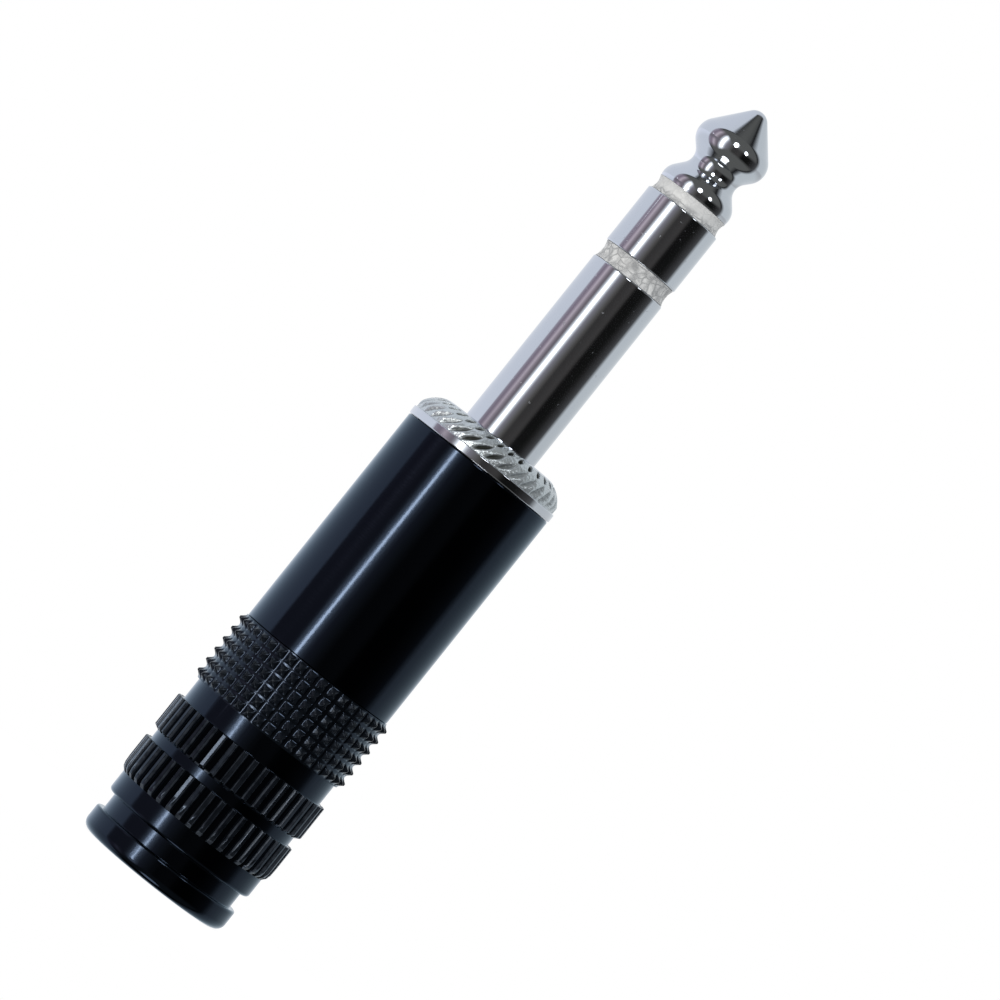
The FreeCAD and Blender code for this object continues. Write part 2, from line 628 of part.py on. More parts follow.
def make_barrel():
    """Black shell: end ring, groove, knurled rings, cross-knurled band and plain barrel."""
    front = BARREL_LENGTH
    thread_z = NECK_END_Z - BORE_STEP_GAP
    outside = [
        (END_RING_R, END_RING_ROUND),
        (END_RING_R, END_RING_LENGTH - EDGE),
        (END_RING_R - EDGE, END_RING_LENGTH),
        (GROOVE_R, END_RING_LENGTH),
        (GROOVE_R, GROOVE_END_Z),
        (REAR_BAND_R - REAR_BAND_ROUND, GROOVE_END_Z),
    ]
    onward = [
        (REAR_BAND_R, GROOVE_END_Z + REAR_BAND_ROUND),
        (REAR_BAND_R, KNURL_2_Z),
        (KNURL_BODY_R, KNURL_2_Z),
        (KNURL_BODY_R, KNURL_2_END_Z),
        (GAP_R, KNURL_2_END_Z),
        (GAP_R, KNURL_1_Z),
        (KNURL_BODY_R, KNURL_1_Z),
        (KNURL_BODY_R, KNURL_1_END_Z),
        (PLAIN_R, KNURL_1_END_Z),
        (PLAIN_R, CROSS_Z),
        (KNURL_BODY_R, CROSS_Z),
        (KNURL_BODY_R, CROSS_END_Z),
        (BARREL_R - EDGE, CROSS_END_Z),
        (BARREL_R, CROSS_END_Z + EDGE),
        (BARREL_R, front - BARREL_FRONT_EDGE),
        (BARREL_R - BARREL_FRONT_EDGE, front),
        (THREAD_BORE_R + BORE_CHAMFER, front),
        (THREAD_BORE_R, front - BORE_CHAMFER),
        (THREAD_BORE_R, thread_z),
        (BORE_R, thread_z - BORE_STEP_SLOPE),
        (BORE_R, REAR_WALL),
        (CABLE_HOLE_R, REAR_WALL),
        (CABLE_HOLE_R, CABLE_HOLE_FLARE),
        (CABLE_HOLE_R + CABLE_HOLE_FLARE, 0),
        (END_RING_R - END_RING_ROUND, 0),
    ]
    edges = [round_corner(END_RING_R, 0, END_RING_ROUND)]
    edges += [line(a, b) for a, b in zip(outside, outside[1:])]
    edges.append(round_corner(REAR_BAND_R, GROOVE_END_Z, REAR_BAND_ROUND))
    edges += [line(a, b) for a, b in zip(onward, onward[1:])]
    knurls = [
        straight_knurl(KNURL_2_Z, KNURL_2_END_Z, KNURL_2_CHAMFER),
        straight_knurl(KNURL_1_Z, KNURL_1_END_Z, KNURL_1_CHAMFER),
        cross_knurl(),
    ]
    return revolve(edges).fuse(knurls).removeSplitter()


NODES = {
    "barrel": make_barrel,
    "liner": make_liner,
    "sleeve_body": make_sleeve_body,
    "ring_insulator": make_ring_insulator,
    "ring": make_ring,
    "tip_insulator": make_tip_insulator,
    "tip": make_tip,
    "tip_rod": make_tip_rod,
    "rod_tube": make_rod_tube,
    "ring_tube": make_ring_tube,
    "ring_tube_liner": make_ring_tube_liner,
    "rear_bush": make_rear_bush,
    "ring_lug": make_ring_lug,
    "lug_separator": make_lug_separator,
    "tip_lug": make_tip_lug,
    "sleeve_lug": make_sleeve_lug,
}


def main():
    """Build every piece and write one STEP file each."""
    os.makedirs("parts", exist_ok=True)
    for name, make in NODES.items():
        shape = make()
        if not shape.isValid():
            raise ValueError(name + " is not a valid solid")
        print(name, shape.ShapeType, len(shape.Solids), len(shape.Faces), round(shape.Volume, 3))
        shape.exportStep("parts/" + name + ".step")


main()
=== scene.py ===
"""Stereo jack plug: turned chrome finger, serrated collar and a black knurled barrel.

The plug stands on its rear face with +Z to the tip. Every new surface is a turned outline
swept round Z as one numpy grid; knurls, serrations and the thread are relief on that grid.
Sizes are millimetres until the mesh is made, and metres in the finishes and the studio.
"""

import logging
import math
from dataclasses import dataclass, field
from enum import Enum
from typing import Callable, Optional, Sequence

import bpy
import numpy as np
from mathutils import Matrix, Vector


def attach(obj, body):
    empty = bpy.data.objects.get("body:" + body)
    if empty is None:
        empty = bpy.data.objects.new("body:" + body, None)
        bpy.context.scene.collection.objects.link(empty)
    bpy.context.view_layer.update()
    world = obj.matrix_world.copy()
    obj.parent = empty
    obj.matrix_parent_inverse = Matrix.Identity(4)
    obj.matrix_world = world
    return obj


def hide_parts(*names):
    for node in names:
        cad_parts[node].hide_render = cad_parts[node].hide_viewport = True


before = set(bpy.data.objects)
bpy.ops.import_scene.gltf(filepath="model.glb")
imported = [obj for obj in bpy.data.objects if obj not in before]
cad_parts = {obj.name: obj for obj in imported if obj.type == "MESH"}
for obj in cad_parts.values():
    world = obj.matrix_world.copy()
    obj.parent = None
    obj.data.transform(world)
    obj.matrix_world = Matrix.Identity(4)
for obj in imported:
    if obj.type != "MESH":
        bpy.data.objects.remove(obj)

LOG = logging.getLogger("jack_plug")
MM = 0.001
TINY = 1e-6
FULL_TURN = 2 * np.pi
Relief = Callable[
    [np.ndarray, np.ndarray, np.ndarray],
    tuple[np.ndarray, np.ndarray, np.ndarray, np.ndarray],
]
Span = tuple[float, float]
Triple = tuple[float, float, float]
Colour = tuple[float, float, float, float]
Socket = bpy.types.NodeSocket


class Body(Enum):
    """The rigid bodies that the new pieces ride on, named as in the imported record."""

    BARREL = "barrel_shell"
    CONTACTS = "contacts"


class Slot(Enum):
    """The record's material slots that the new pieces take their finish from."""

    BLACK = "black_barrel"
    CHROME = "chrome"
    NYLON = "white_nylon"


# ---- outlines and grids


def around(count: int) -> np.ndarray:
    """Angles of count columns, equally far apart round Z from +X."""
    return np.linspace(0, FULL_TURN, count, endpoint=False)


def circle(angles: np.ndarray) -> np.ndarray:
    """Unit vectors (cos t, sin t) at the angles."""
    return np.stack([np.cos(angles), np.sin(angles)], axis=1)


def rounded(
    corners: Sequence[Triple], steps: int = 4, guard: float = 0.03, large: float = 0.2
) -> np.ndarray:
    """Outline through the corners with each corner rounded to its own radius.

    A corner P with radius q between directions u and v turns by angle a. Its arc starts at
    P - u q tan(a/2), has its centre q to the side of u, and sweeps a in equal steps. It may
    take just under half of a run. A guard point beside each arc keeps the shading of a long
    straight run flat.

    Args:
        corners: (r, z, radius) of each corner; the first and last stay sharp.
        steps: Points on a small corner.
        guard: Distance of the guard points from the arc.
        large: Radius from which a corner has twice as many points.

    Returns:
        Array of (r, z) points.
    """
    most, straight = 0.49, 1e-4
    parts = [np.array([corners[0][:2]])]
    for before, here, after in zip(corners, corners[1:], corners[2:]):
        p = np.array(here[:2])
        u = p - np.array(before[:2])
        v = np.array(after[:2]) - p
        run_u, run_v = np.hypot(*u), np.hypot(*v)
        room = most * min(run_u, run_v)
        u, v = u / run_u, v / run_v
        cross = u[0] * v[1] - u[1] * v[0]
        turn = math.atan2(cross, float(u @ v))
        if here[2] <= 0 or abs(turn) < straight:
            parts.append(p[None])
            continue
        reach = min(here[2] * math.tan(abs(turn) / 2), room)
        radius = reach / math.tan(abs(turn) / 2)
        side = math.copysign(1.0, cross)
        centre = p - u * reach + radius * side * np.array([-u[1], u[0]])
        count = steps if here[2] < large else 2 * steps
        a = math.atan2(*(p - u * reach - centre)[::-1]) + np.linspace(0, turn, count)
        arc = centre + radius * circle(a)
        if run_u / 2 > reach + 2 * guard:
            parts.append(arc[:1] - u * guard)
        parts.append(arc)
        if run_v / 2 > reach + 2 * guard:
            parts.append(arc[-1:] + v * guard)
    parts.append(np.array([corners[-1][:2]]))
    return np.concatenate(parts)


def refined(outline: np.ndarray, longest: float, low: float, high: float) -> np.ndarray:
    """The outline with its runs between heights low and high cut into equal pieces.

    Args:
        outline: Array of (r, z) points.
        longest: Longest piece left on a run, in millimetres.
        low: Lowest height that is refined.
        high: Greatest height that is refined.

    Returns:
        Array of (r, z) points with the new ones in place.
    """
    a, b = outline[:-1], outline[1:]
    inside = np.minimum(a[:, 1], b[:, 1]) >= low - TINY
    inside &= np.maximum(a[:, 1], b[:, 1]) <= high + TINY
    pieces = np.ceil(np.hypot(*(b - a).T) / longest)
    count = np.where(inside, pieces, 1).astype(int).clip(1)
    start = np.repeat(np.arange(len(a)), count)
    step = np.arange(count.sum()) - np.repeat(np.cumsum(count) - count, count)
    share = (step / count[start])[:, None]
    return np.concatenate([a[start] + (b - a)[start] * share, outline[-1:]])


def arc_between(a: Span, b: Span, radius: float, steps: int) -> np.ndarray:
    """Points of the arc from a to b that bulges to the left of the way from a to b.

    The centre lies sqrt(radius^2 - (chord/2)^2) to the right of the chord's middle.

    Args:
        a: Start (r, z).
        b: End (r, z).
        radius: Radius of the arc.
        steps: Number of points, both ends among them.

    Returns:
        Array of (r, z) points.
    """
    p, q = np.array(a, float), np.array(b, float)
    chord = q - p
    length = np.hypot(*chord)
    left = np.array([-chord[1], chord[0]]) / length
    centre = 0.5 * (p + q) - left * math.sqrt(radius**2 - (0.5 * length) ** 2)
    from_a = math.atan2(*(p - centre)[::-1])
    sweep = (math.atan2(*(q - centre)[::-1]) - from_a + math.pi) % FULL_TURN - math.pi
    return centre + radius * circle(from_a + np.linspace(0, sweep, steps))


@dataclass
class Turning:
    """A closed outline swept round Z: point (i, j) is (r_i cos t_j, r_i sin t_j, z_i).

    An outline that starts on the axis ends there too, and gets a fan at each end. The relief
    takes the grids of radii, heights and angles, and gives them back changed with the wear
    and painted light.
    On a ridged piece each face is split along the diagonal that stands out further.
    """

    name: str
    outline: np.ndarray
    angles: np.ndarray = field(default_factory=lambda: around(192))
    relief: Optional[Relief] = None
    sharp_deg: float = 40.0
    ridged: bool = False

    def build(self) -> bpy.types.Object:
        """Makes the mesh object, seams closed and faces outwards.

        Faces point outwards when the solid's volume, the sum of a . (b x c) over the faces'
        corners, is positive.

        Returns:
            The new object, linked to the scene and placed in its mesh.
        """
        pole = self.outline[0, 0] < TINY
        body = self.outline[1:-1] if pole else self.outline
        rows, columns = len(body), len(self.angles)
        t = np.broadcast_to(self.angles[None, :], (rows, columns))
        r = np.repeat(body[:, :1], columns, axis=1)
        z = np.repeat(body[:, 1:], columns, axis=1)
        wear_and_painted_light = np.zeros(r.shape)
        if self.relief:
            r, z, t, wear_and_painted_light = self.relief(r, z, t)
        points = np.stack([r * np.cos(t), r * np.sin(t), z], axis=2).reshape(-1, 3)
        wear_and_painted_light = wear_and_painted_light.ravel()
        quads, tris = self.faces(rows, columns, pole)
        if pole:
            ends = [[0, 0, self.outline[0, 1]], [0, 0, self.outline[-1, 1]]]
            points, wear_and_painted_light = np.concatenate([points, ends]), np.append(wear_and_painted_light, (0, 0))
        a, b, c = points[quads[:, 0]], points[quads[:, 1]], points[quads[:, 2]]
        if float(np.einsum("ij,ij->i", a, np.cross(b, c)).sum()) < 0:
            quads, tris = quads[:, ::-1], tris[:, ::-1]
        if self.ridged:
            far = np.hypot(points[:, 0], points[:, 1])[quads]
            fold = far[:, 1] + far[:, 3] > far[:, 0] + far[:, 2] + TINY
            quads = np.where(fold[:, None], np.roll(quads, 1, axis=1), quads)
        return self.to_object(points * MM, quads, tris, wear_and_painted_light)

    @staticmethod
    def faces(rows: int, columns: int, pole: bool) -> tuple[np.ndarray, np.ndarray]:
        """Corner indices of the faces, point (i, j) being number i x columns + j.

        The last column joins the first one. The last row joins the first one too, or else a
        fan of triangles closes each end; the two middle points come after the grid's.

        Args:
            rows: Points of the outline.
            columns: Number of angles.
            pole: True where fans close the ends.

        Returns:
            (m, 4) quads and (k, 3) triangles.
        """
        i = np.arange(rows - 1 if pole else rows)[:, None]
        j = np.arange(columns)[None, :]
        low, high = i * columns, ((i + 1) % rows) * columns
        right = (j + 1) % columns
        quads = np.stack([low + j, low + right, high + right, high + j], axis=2).reshape(-1, 4)
        if not pole:
            return quads, np.empty((0, 3), int)
        j, right = j.ravel(), right.ravel()
        first, top = rows * columns, (rows - 1) * columns
        tris = np.concatenate([
            np.stack([np.full(columns, first), right, j], axis=1),
            np.stack([np.full(columns, first + 1), top + j, top + right], axis=1),
        ])
        return quads, tris

    def to_object(
        self, points: np.ndarray, quads: np.ndarray, tris: np.ndarray, wear_and_painted_light: np.ndarray
    ) -> bpy.types.Object:
        """Puts the arrays into a smooth-shaded mesh with its sharp edges marked.

        Args:
            points: (n, 3) places in metres.
            quads: (m, 4) corner indices.
            tris: (k, 3) corner indices.
            wear_and_painted_light: (n,) wear of the finish, with painted shade and highlights,
                kept as the attribute "wear_and_painted_light".

        Returns:
            The new object.
        """
        mesh = bpy.data.meshes.new(self.name)
        sizes = np.concatenate([np.full(len(quads), 4), np.full(len(tris), 3)])
        corners = np.concatenate([quads.ravel(), tris.ravel()])
        mesh.vertices.add(len(points))
        mesh.loops.add(int(sizes.sum()))
        mesh.polygons.add(len(sizes))
        mesh.vertices.foreach_set("co", points.astype(np.float32).ravel())
        mesh.loops.foreach_set("vertex_index", corners.astype(np.int32))
        mesh.polygons.foreach_set("loop_start", (np.cumsum(sizes) - sizes).astype(np.int32))
        mesh.update(calc_edges=True)
        mesh.validate()
        painted_light_and_wear = mesh.attributes.new("wear_and_painted_light", "FLOAT", "POINT")
        painted_light_and_wear.data.foreach_set("value", wear_and_painted_light.astype(np.float32))
        mesh.polygons.foreach_set("use_smooth", np.ones(len(mesh.polygons), dtype=bool))
        mesh.set_sharp_from_angle(angle=math.radians(self.sharp_deg))
        piece = bpy.data.objects.new(self.name, mesh)
        bpy.context.scene.collection.objects.link(piece)
        return piece


# ---- finishes


class Graph:
    """A short way to write a node tree: nodes are added and their sockets linked by name."""

    def __init__(
        self,
        owner: bpy.types.ID,
        output: str = "ShaderNodeOutputMaterial",
        place: str = "Object",
    ) -> None:
        """Empties the node tree of a material or world.

        Args:
            owner: The material or world.
            output: Type of its output node.
            place: Texture coordinates that the tree works on.
        """
        owner.use_nodes = True
        self.owner = owner
        self.tree = owner.node_tree
        self.tree.nodes.clear()
        self.output = self.add(output)
        self.coordinates = self.add("ShaderNodeTexCoord").outputs[place]

    def add(
        self, kind: str, settings: Optional[dict] = None, **inputs: object
    ) -> bpy.types.Node:
        """Adds a node.

        Args:
            kind: Blender's name of the node type.
            settings: Node properties by name.
            **inputs: Values or links by the socket's name, with _ for a space, or by its
                number after a _.

        Returns:
            The new node.
        """
        node = self.tree.nodes.new(kind)
        for key, value in (settings or {}).items():
            setattr(node, key, value)
        for key, value in inputs.items():
            number = key.removeprefix("_")
            socket = int(number) if number.isdigit() else key.replace("_", " ")
            self.feed(node.inputs[socket], value)
        return node

    def feed(self, socket: Socket, value: object) -> None:
        """Links value to the socket if it is an output, and sets it otherwise.

        Args:
            socket: The input.
            value: An output socket or a plain value.
        """
        if isinstance(value, Socket):
            self.tree.links.new(value, socket)
        else:
            socket.default_value = value

    def axes(self) -> Sequence[Socket]:
        """The X, Y and Z of the coordinates."""
        return self.add("ShaderNodeSeparateXYZ", Vector=self.coordinates).outputs

    def painted_light_and_wear(self) -> Socket:
        """The mesh's attribute of wear, painted shade and painted highlights."""
        return self.add("ShaderNodeAttribute", {"attribute_name": "wear_and_painted_light"}).outputs["Fac"]

    def noise(
        self, scale: float, detail: float = 3.0, stretch: Sequence[float] = (1, 1, 1)
    ) -> Socket:
        """Noise from 0 to 1.

        Args:
            scale: Features per metre.
            detail: Number of finer layers.
            stretch: What each coordinate is multiplied by first.

        Returns:
            The noise's output.
        """
        place = self.add("ShaderNodeMapping", Vector=self.coordinates, Scale=stretch)
        inputs = {"Vector": place.outputs[0], "Scale": scale, "Detail": detail}
        return self.add("ShaderNodeTexNoise", **inputs).outputs["Fac"]

    def remap(
        self, value: Socket, low: float, high: float, to_low: float = 0.0, to_high: float = 1.0
    ) -> Socket:
        """The value taken from the span low..high to to_low..to_high, and held there.

        Args:
            value: What is remapped.
            low: Value that becomes to_low.
            high: Value that becomes to_high.
            to_low: Result at low.
            to_high: Result at high.

        Returns:
            The result.
        """
        spans = {"_1": low, "_2": high, "_3": to_low, "_4": to_high}
        return self.add("ShaderNodeMapRange", {"clamp": True}, Value=value, **spans).outputs[0]

    def mix(self, share: object, a: object, b: object) -> Socket:
        """Colour between a, at share 0, and b, at share 1."""
        node = self.add("ShaderNodeMix", {"data_type": "RGBA"}, _0=share, _6=a, _7=b)
        return node.outputs[2]

    def blend(self, share: object, a: bpy.types.Node, b: bpy.types.Node) -> bpy.types.Node:
        """Shader between a, at share 0, and b, at share 1."""
        return self.add("ShaderNodeMixShader", _0=share, _1=a.outputs[0], _2=b.outputs[0])

    def math(self, operation: str, a: object, b: object) -> Socket:
        """The result of a two-sided math node."""
        return self.add("ShaderNodeMath", {"operation": operation}, _0=a, _1=b).outputs[0]

    def plus(self, a: object, b: object) -> Socket:
        """The sum of a and b."""
        return self.math("ADD", a, b)

    def minus(self, a: object, b: object) -> Socket:
        """The difference of a and b."""
        return self.math("SUBTRACT", a, b)

    def times(self, a: object, b: object) -> Socket:
        """The product of a and b."""
        return self.math("MULTIPLY", a, b)

    def bump(self, height: Socket, strength: float, distance: float) -> Socket:
        """Bumped normal; distance is the height of a full step in metres."""
        node = self.add("ShaderNodeBump", Height=height, Strength=strength, Distance=distance)
        return node.outputs["Normal"]

    def finish(self, **inputs: object) -> bpy.types.Material:
        """Adds the Principled shader with these inputs and returns the material."""
        self.feed(self.output.inputs[0], self.add("ShaderNodeBsdfPrincipled", **inputs).outputs[0])
        return self.owner


@dataclass(frozen=True)
class BlackPlating:
    """Gloss-black plated metal: mirror-like on the long barrel, a little duller on the grip.

    Wear above 0 is rubbed and lighter, partly real wear and partly painted highlight. Below 0
    the metal is black and unreflecting: painted shade in the groove floors, and a dull finish
    on the studs' tips.
    """

    colour: Colour = (0.016, 0.022, 0.0335, 1.0)
    edge: Colour = (0.82, 0.92, 1.0, 1.0)
    # Lighter colour on the knurls' shoulders, ends and valleys: partly wear, partly painted
    # highlight.
    rubbed_and_highlight: Colour = (0.046, 0.055, 0.070, 1.0)
    # Near-black colour with no reflection: painted shade in the groove floors, dull stud tips.
    unpolished_and_shade: Colour = (0.001, 0.0013, 0.002, 1.0)
    smooth: float = 0.07
    grip: float = 0.11
    grip_top: Span = (0.0197, 0.0201)
    smudged: float = 0.035
    rub_rough: float = 0.30
    rub_metal: float = 0.25
    rub_matt: float = 0.6
    grain: float = 0.16
    grain_height: float = 0.000012

    def material(self) -> bpy.types.Material:
        """Roughness rises below the grip's top; the lighter rubbed marks, partly painted
        highlight, are patchy.

        Returns:
            The material.
        """
        g = Graph(bpy.data.materials.new("black_plating"))
        base = g.remap(g.axes()[2], *self.grip_top, self.grip, self.smooth)
        smudge = g.remap(g.noise(420.0, 4.0), 0.4, 0.75, 0.0, self.smudged)
        # Above 0 the attribute paints lighter marks (wear and painted highlight); below 0 painted
        # shade.
        wear_and_painted_light = g.painted_light_and_wear()
        dull = g.remap(wear_and_painted_light, -1.0, 0.0, 1.0, 0.0)
        patches = g.remap(g.noise(1800.0, 3.0), 0.3, 0.6, 0.45, 1.0)
        patchy = g.times(g.remap(wear_and_painted_light, 0.0, 1.0), patches)
        rough = g.plus(g.plus(base, smudge), g.times(patchy, self.rub_rough))
        matt = g.plus(dull, g.times(patchy, self.rub_matt))
        rings = g.noise(1.0, 2.0, (60, 60, 9000))
        height = g.plus(g.times(rings, 0.6), g.noise(3800.0, 3.0))
        return g.finish(
            Base_Color=g.mix(dull, g.mix(patchy, self.colour, self.rubbed_and_highlight), self.unpolished_and_shade),
            Metallic=g.minus(g.remap(patchy, 0.0, 1.0, 1.0, self.rub_metal), dull),
            Specular_IOR_Level=g.remap(matt, 0.0, 1.0, 0.5, 0.0),
            Specular_Tint=self.edge,
            Roughness=g.plus(rough, g.times(dull, self.rub_rough)),
            Normal=g.bump(height, self.grain, self.grain_height),
        )


@dataclass(frozen=True)
class Chrome:
    """Bright plating with faint turning rings, fine scratches and a few dull specks.

    The collar's dome, between the two heights, is pressed: dull and uneven. The mesh's
    attribute paints shade into the collar's cuts and dents: near black and rougher.
    """

    colour: Colour = (0.52, 0.555, 0.61, 1.0)
    land: Colour = (0.47, 0.52, 0.555, 1.0)
    # Near black for the collar's cuts and dents: painted shade.
    dirt_and_shade: Colour = (0.025, 0.027, 0.022, 1.0)
    rough: float = 0.05
    speck: float = 0.22
    smudged: float = 0.03
    scratch: float = 0.09
    scratch_height: float = 0.000008
    dome: Span = (0.03950, 0.04122)
    dome_blend: float = 0.00004
    pressed: float = 0.18
    pressed_metal: float = 0.7
    uneven: float = 0.28
    lump_height: float = 0.0004
    cut_shade_rough: float = 0.3

    def material(self) -> bpy.types.Material:
        """Rings run round Z and scratches along it.

        Returns:
            The material.
        """
        g = Graph(bpy.data.materials.new("bright_chrome"))
        rings = g.noise(1.0, 3.0, (90, 90, 14000))
        scratches = g.remap(g.noise(1.0, 2.0, (6500, 6500, 260)), 0.68, 0.74)
        specks = g.remap(g.noise(2600.0, 1.0), 0.72, 0.78, 0.0, self.speck)
        smudge = g.remap(g.noise(300.0, 3.0), 0.35, 0.7, 0.0, self.smudged)
        rough = g.plus(g.plus(smudge, specks), self.rough)
        height = g.axes()[2]
        (low, high), blend = self.dome, self.dome_blend
        dull = g.math(
            "MINIMUM",
            g.remap(height, low - blend, low + blend, 0.0, self.pressed),
            g.remap(height, high - blend, high + blend, self.pressed, 0.0),
        )
        on_dome = g.remap(dull, 0.0, self.pressed)
        # Painted shade in the collar's cuts and dents, from the mesh's attribute.
        painted_cut_shade = g.painted_light_and_wear()
        marks = g.minus(g.times(rings, 0.5), g.times(scratches, 0.5))
        lumps = g.add(
            "ShaderNodeBump",
            Height=g.noise(3600.0, 3.0),
            Strength=g.remap(dull, 0.0, self.pressed, 0.0, self.uneven),
            Distance=self.lump_height,
            Normal=g.bump(marks, self.scratch, self.scratch_height),
        )
        return g.finish(
            Base_Color=g.mix(painted_cut_shade, g.mix(on_dome, self.colour, self.land), self.dirt_and_shade),
            Metallic=g.remap(dull, 0.0, self.pressed, 1.0, self.pressed_metal),
            Roughness=g.plus(g.plus(rough, dull), g.times(painted_cut_shade, self.cut_shade_rough)),
            Normal=lumps.outputs["Normal"],
        )


@dataclass(frozen=True)
class Nylon:
    """Natural white nylon: slightly translucent, with grey rubbed-in dirt in its tool marks.

    The grey marks grow lighter between the two heights, to the share given next.
    """

    light: Colour = (0.67, 0.685, 0.69, 1.0)
    dark: Colour = (0.24, 0.25, 0.262, 1.0)
    lighter_above: Span = (0.06325, 0.06350)
    lighter_share: float = 0.25
    marks: float = 1500.0
    mark_waver: float = 0.0003
    mark_width: float = 0.14
    mark_dirt: float = 0.85
    cloud_dirt: float = 0.8
    mark_depth: float = 0.00003
    rough: float = 0.42
    glow: float = 0.3
    glow_depth: float = 0.0002

    def material(self) -> bpy.types.Material:
        """Wavering cell edges and cloudy noise carry the dirt, which lies a little deeper.

        Returns:
            The material.
        """
        g = Graph(bpy.data.materials.new("white_nylon"))
        warp = g.add("ShaderNodeTexNoise", Vector=g.coordinates, Scale=self.marks, Detail=3.0)
        vector, waver = "ShaderNodeVectorMath", (self.mark_waver,) * 3
        shift = g.add(vector, {"operation": "MULTIPLY"}, _0=warp.outputs["Color"], _1=waver)
        place = g.add(vector, {"operation": "ADD"}, _0=g.coordinates, _1=shift.outputs[0])
        cells = g.add(
            "ShaderNodeTexVoronoi",
            {"feature": "DISTANCE_TO_EDGE"},
            Vector=place.outputs[0],
            Scale=self.marks,
        )
        lines = g.remap(cells.outputs["Distance"], 0.0, self.mark_width, self.mark_dirt, 0.0)
        cloud = g.remap(g.noise(1300.0, 5.0), 0.42, 0.66, 0.0, self.cloud_dirt)
        # The grey marks are lighter above these heights, towards the tip.
        height_fade = g.remap(g.axes()[2], *self.lighter_above, 1.0, self.lighter_share)
        dirt_and_shade = g.times(g.math("MAXIMUM", lines, cloud), height_fade)
        return g.finish(
            Base_Color=g.mix(dirt_and_shade, self.light, self.dark),
            Roughness=g.remap(g.noise(1500.0), 0.3, 0.7, self.rough - 0.1, self.rough + 0.12),
            Subsurface_Weight=self.glow,
            Subsurface_Radius=(1.0, 1.0, 1.0),
            Subsurface_Scale=self.glow_depth,
            Normal=g.bump(dirt_and_shade, -0.35, self.mark_depth),
        )


@dataclass(frozen=True)
class PlainMetal:
    """Inner metal parts: drawn, stamped or tinned, with soft cloudy roughness."""

    name: str
    colour: Colour
    rough: float = 0.3
    stretch: Triple = (1.0, 1.0, 1.0)

    def material(self) -> bpy.types.Material:
        """Cloudy roughness, and a grain stretched the way the metal was drawn.

        Returns:
            The material.
        """
        g = Graph(bpy.data.materials.new(self.name))
        grain = g.noise(1400.0, 4.0, self.stretch)
        return g.finish(
            Base_Color=self.colour,
            Metallic=1.0,
            Roughness=g.remap(grain, 0.3, 0.7, self.rough - 0.08, self.rough + 0.1),
            Normal=g.bump(grain, 0.3, 0.00001),
        )


@dataclass(frozen=True)
class MouldedPlastic:
    """Inner insulating parts in a satin moulded plastic."""

    name: str
    colour: Colour
    rough: float = 0.45

    def material(self) -> bpy.types.Material:
        """A fine mould grain in roughness and bump.

        Returns:
            The material.
        """
        g = Graph(bpy.data.materials.new(self.name))
        grain = g.noise(2400.0, 3.0)
        return g.finish(
            Base_Color=self.colour,
            Roughness=g.remap(grain, 0.3, 0.7, self.rough - 0.06, self.rough + 0.08),
            Normal=g.bump(grain, 0.25, 0.00001),
        )


@dataclass(frozen=True)
class ClearTube:
    """Clear extruded vinyl of the insulating liner."""

    colour: Colour = (0.90, 0.93, 0.95, 1.0)
    clear: float = 0.85
    ior: float = 1.45
    rough: float = 0.12

    def material(self) -> bpy.types.Material:
        """Transmission with faint draw lines along the tube.

        Returns:
            The material.
        """
        g = Graph(bpy.data.materials.new("clear_vinyl"))
        lines = g.noise(1.0, 2.0, (3000, 3000, 60))
        return g.finish(
            Base_Color=self.colour,
            Roughness=self.rough,
            IOR=self.ior,
            Transmission_Weight=self.clear,
            Normal=g.bump(lines, 0.25, 0.00001),
        )


# ---- sub-assemblies


def adopt(
    piece: bpy.types.Object, body: Body, node: str, finish: bpy.types.Material
) -> None:
    """Gives a new piece its finish and its body, and hides the CAD node that it stands for.

    Args:
        piece: The new object.
        body: Body that it rides on.
        node: CAD node that it replaces.
        finish: Its material.
    """
    piece.data.materials.append(finish)
    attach(piece, body.value)
    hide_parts(node)
    LOG.info("%s: %d faces", piece.name, len(piece.data.polygons))


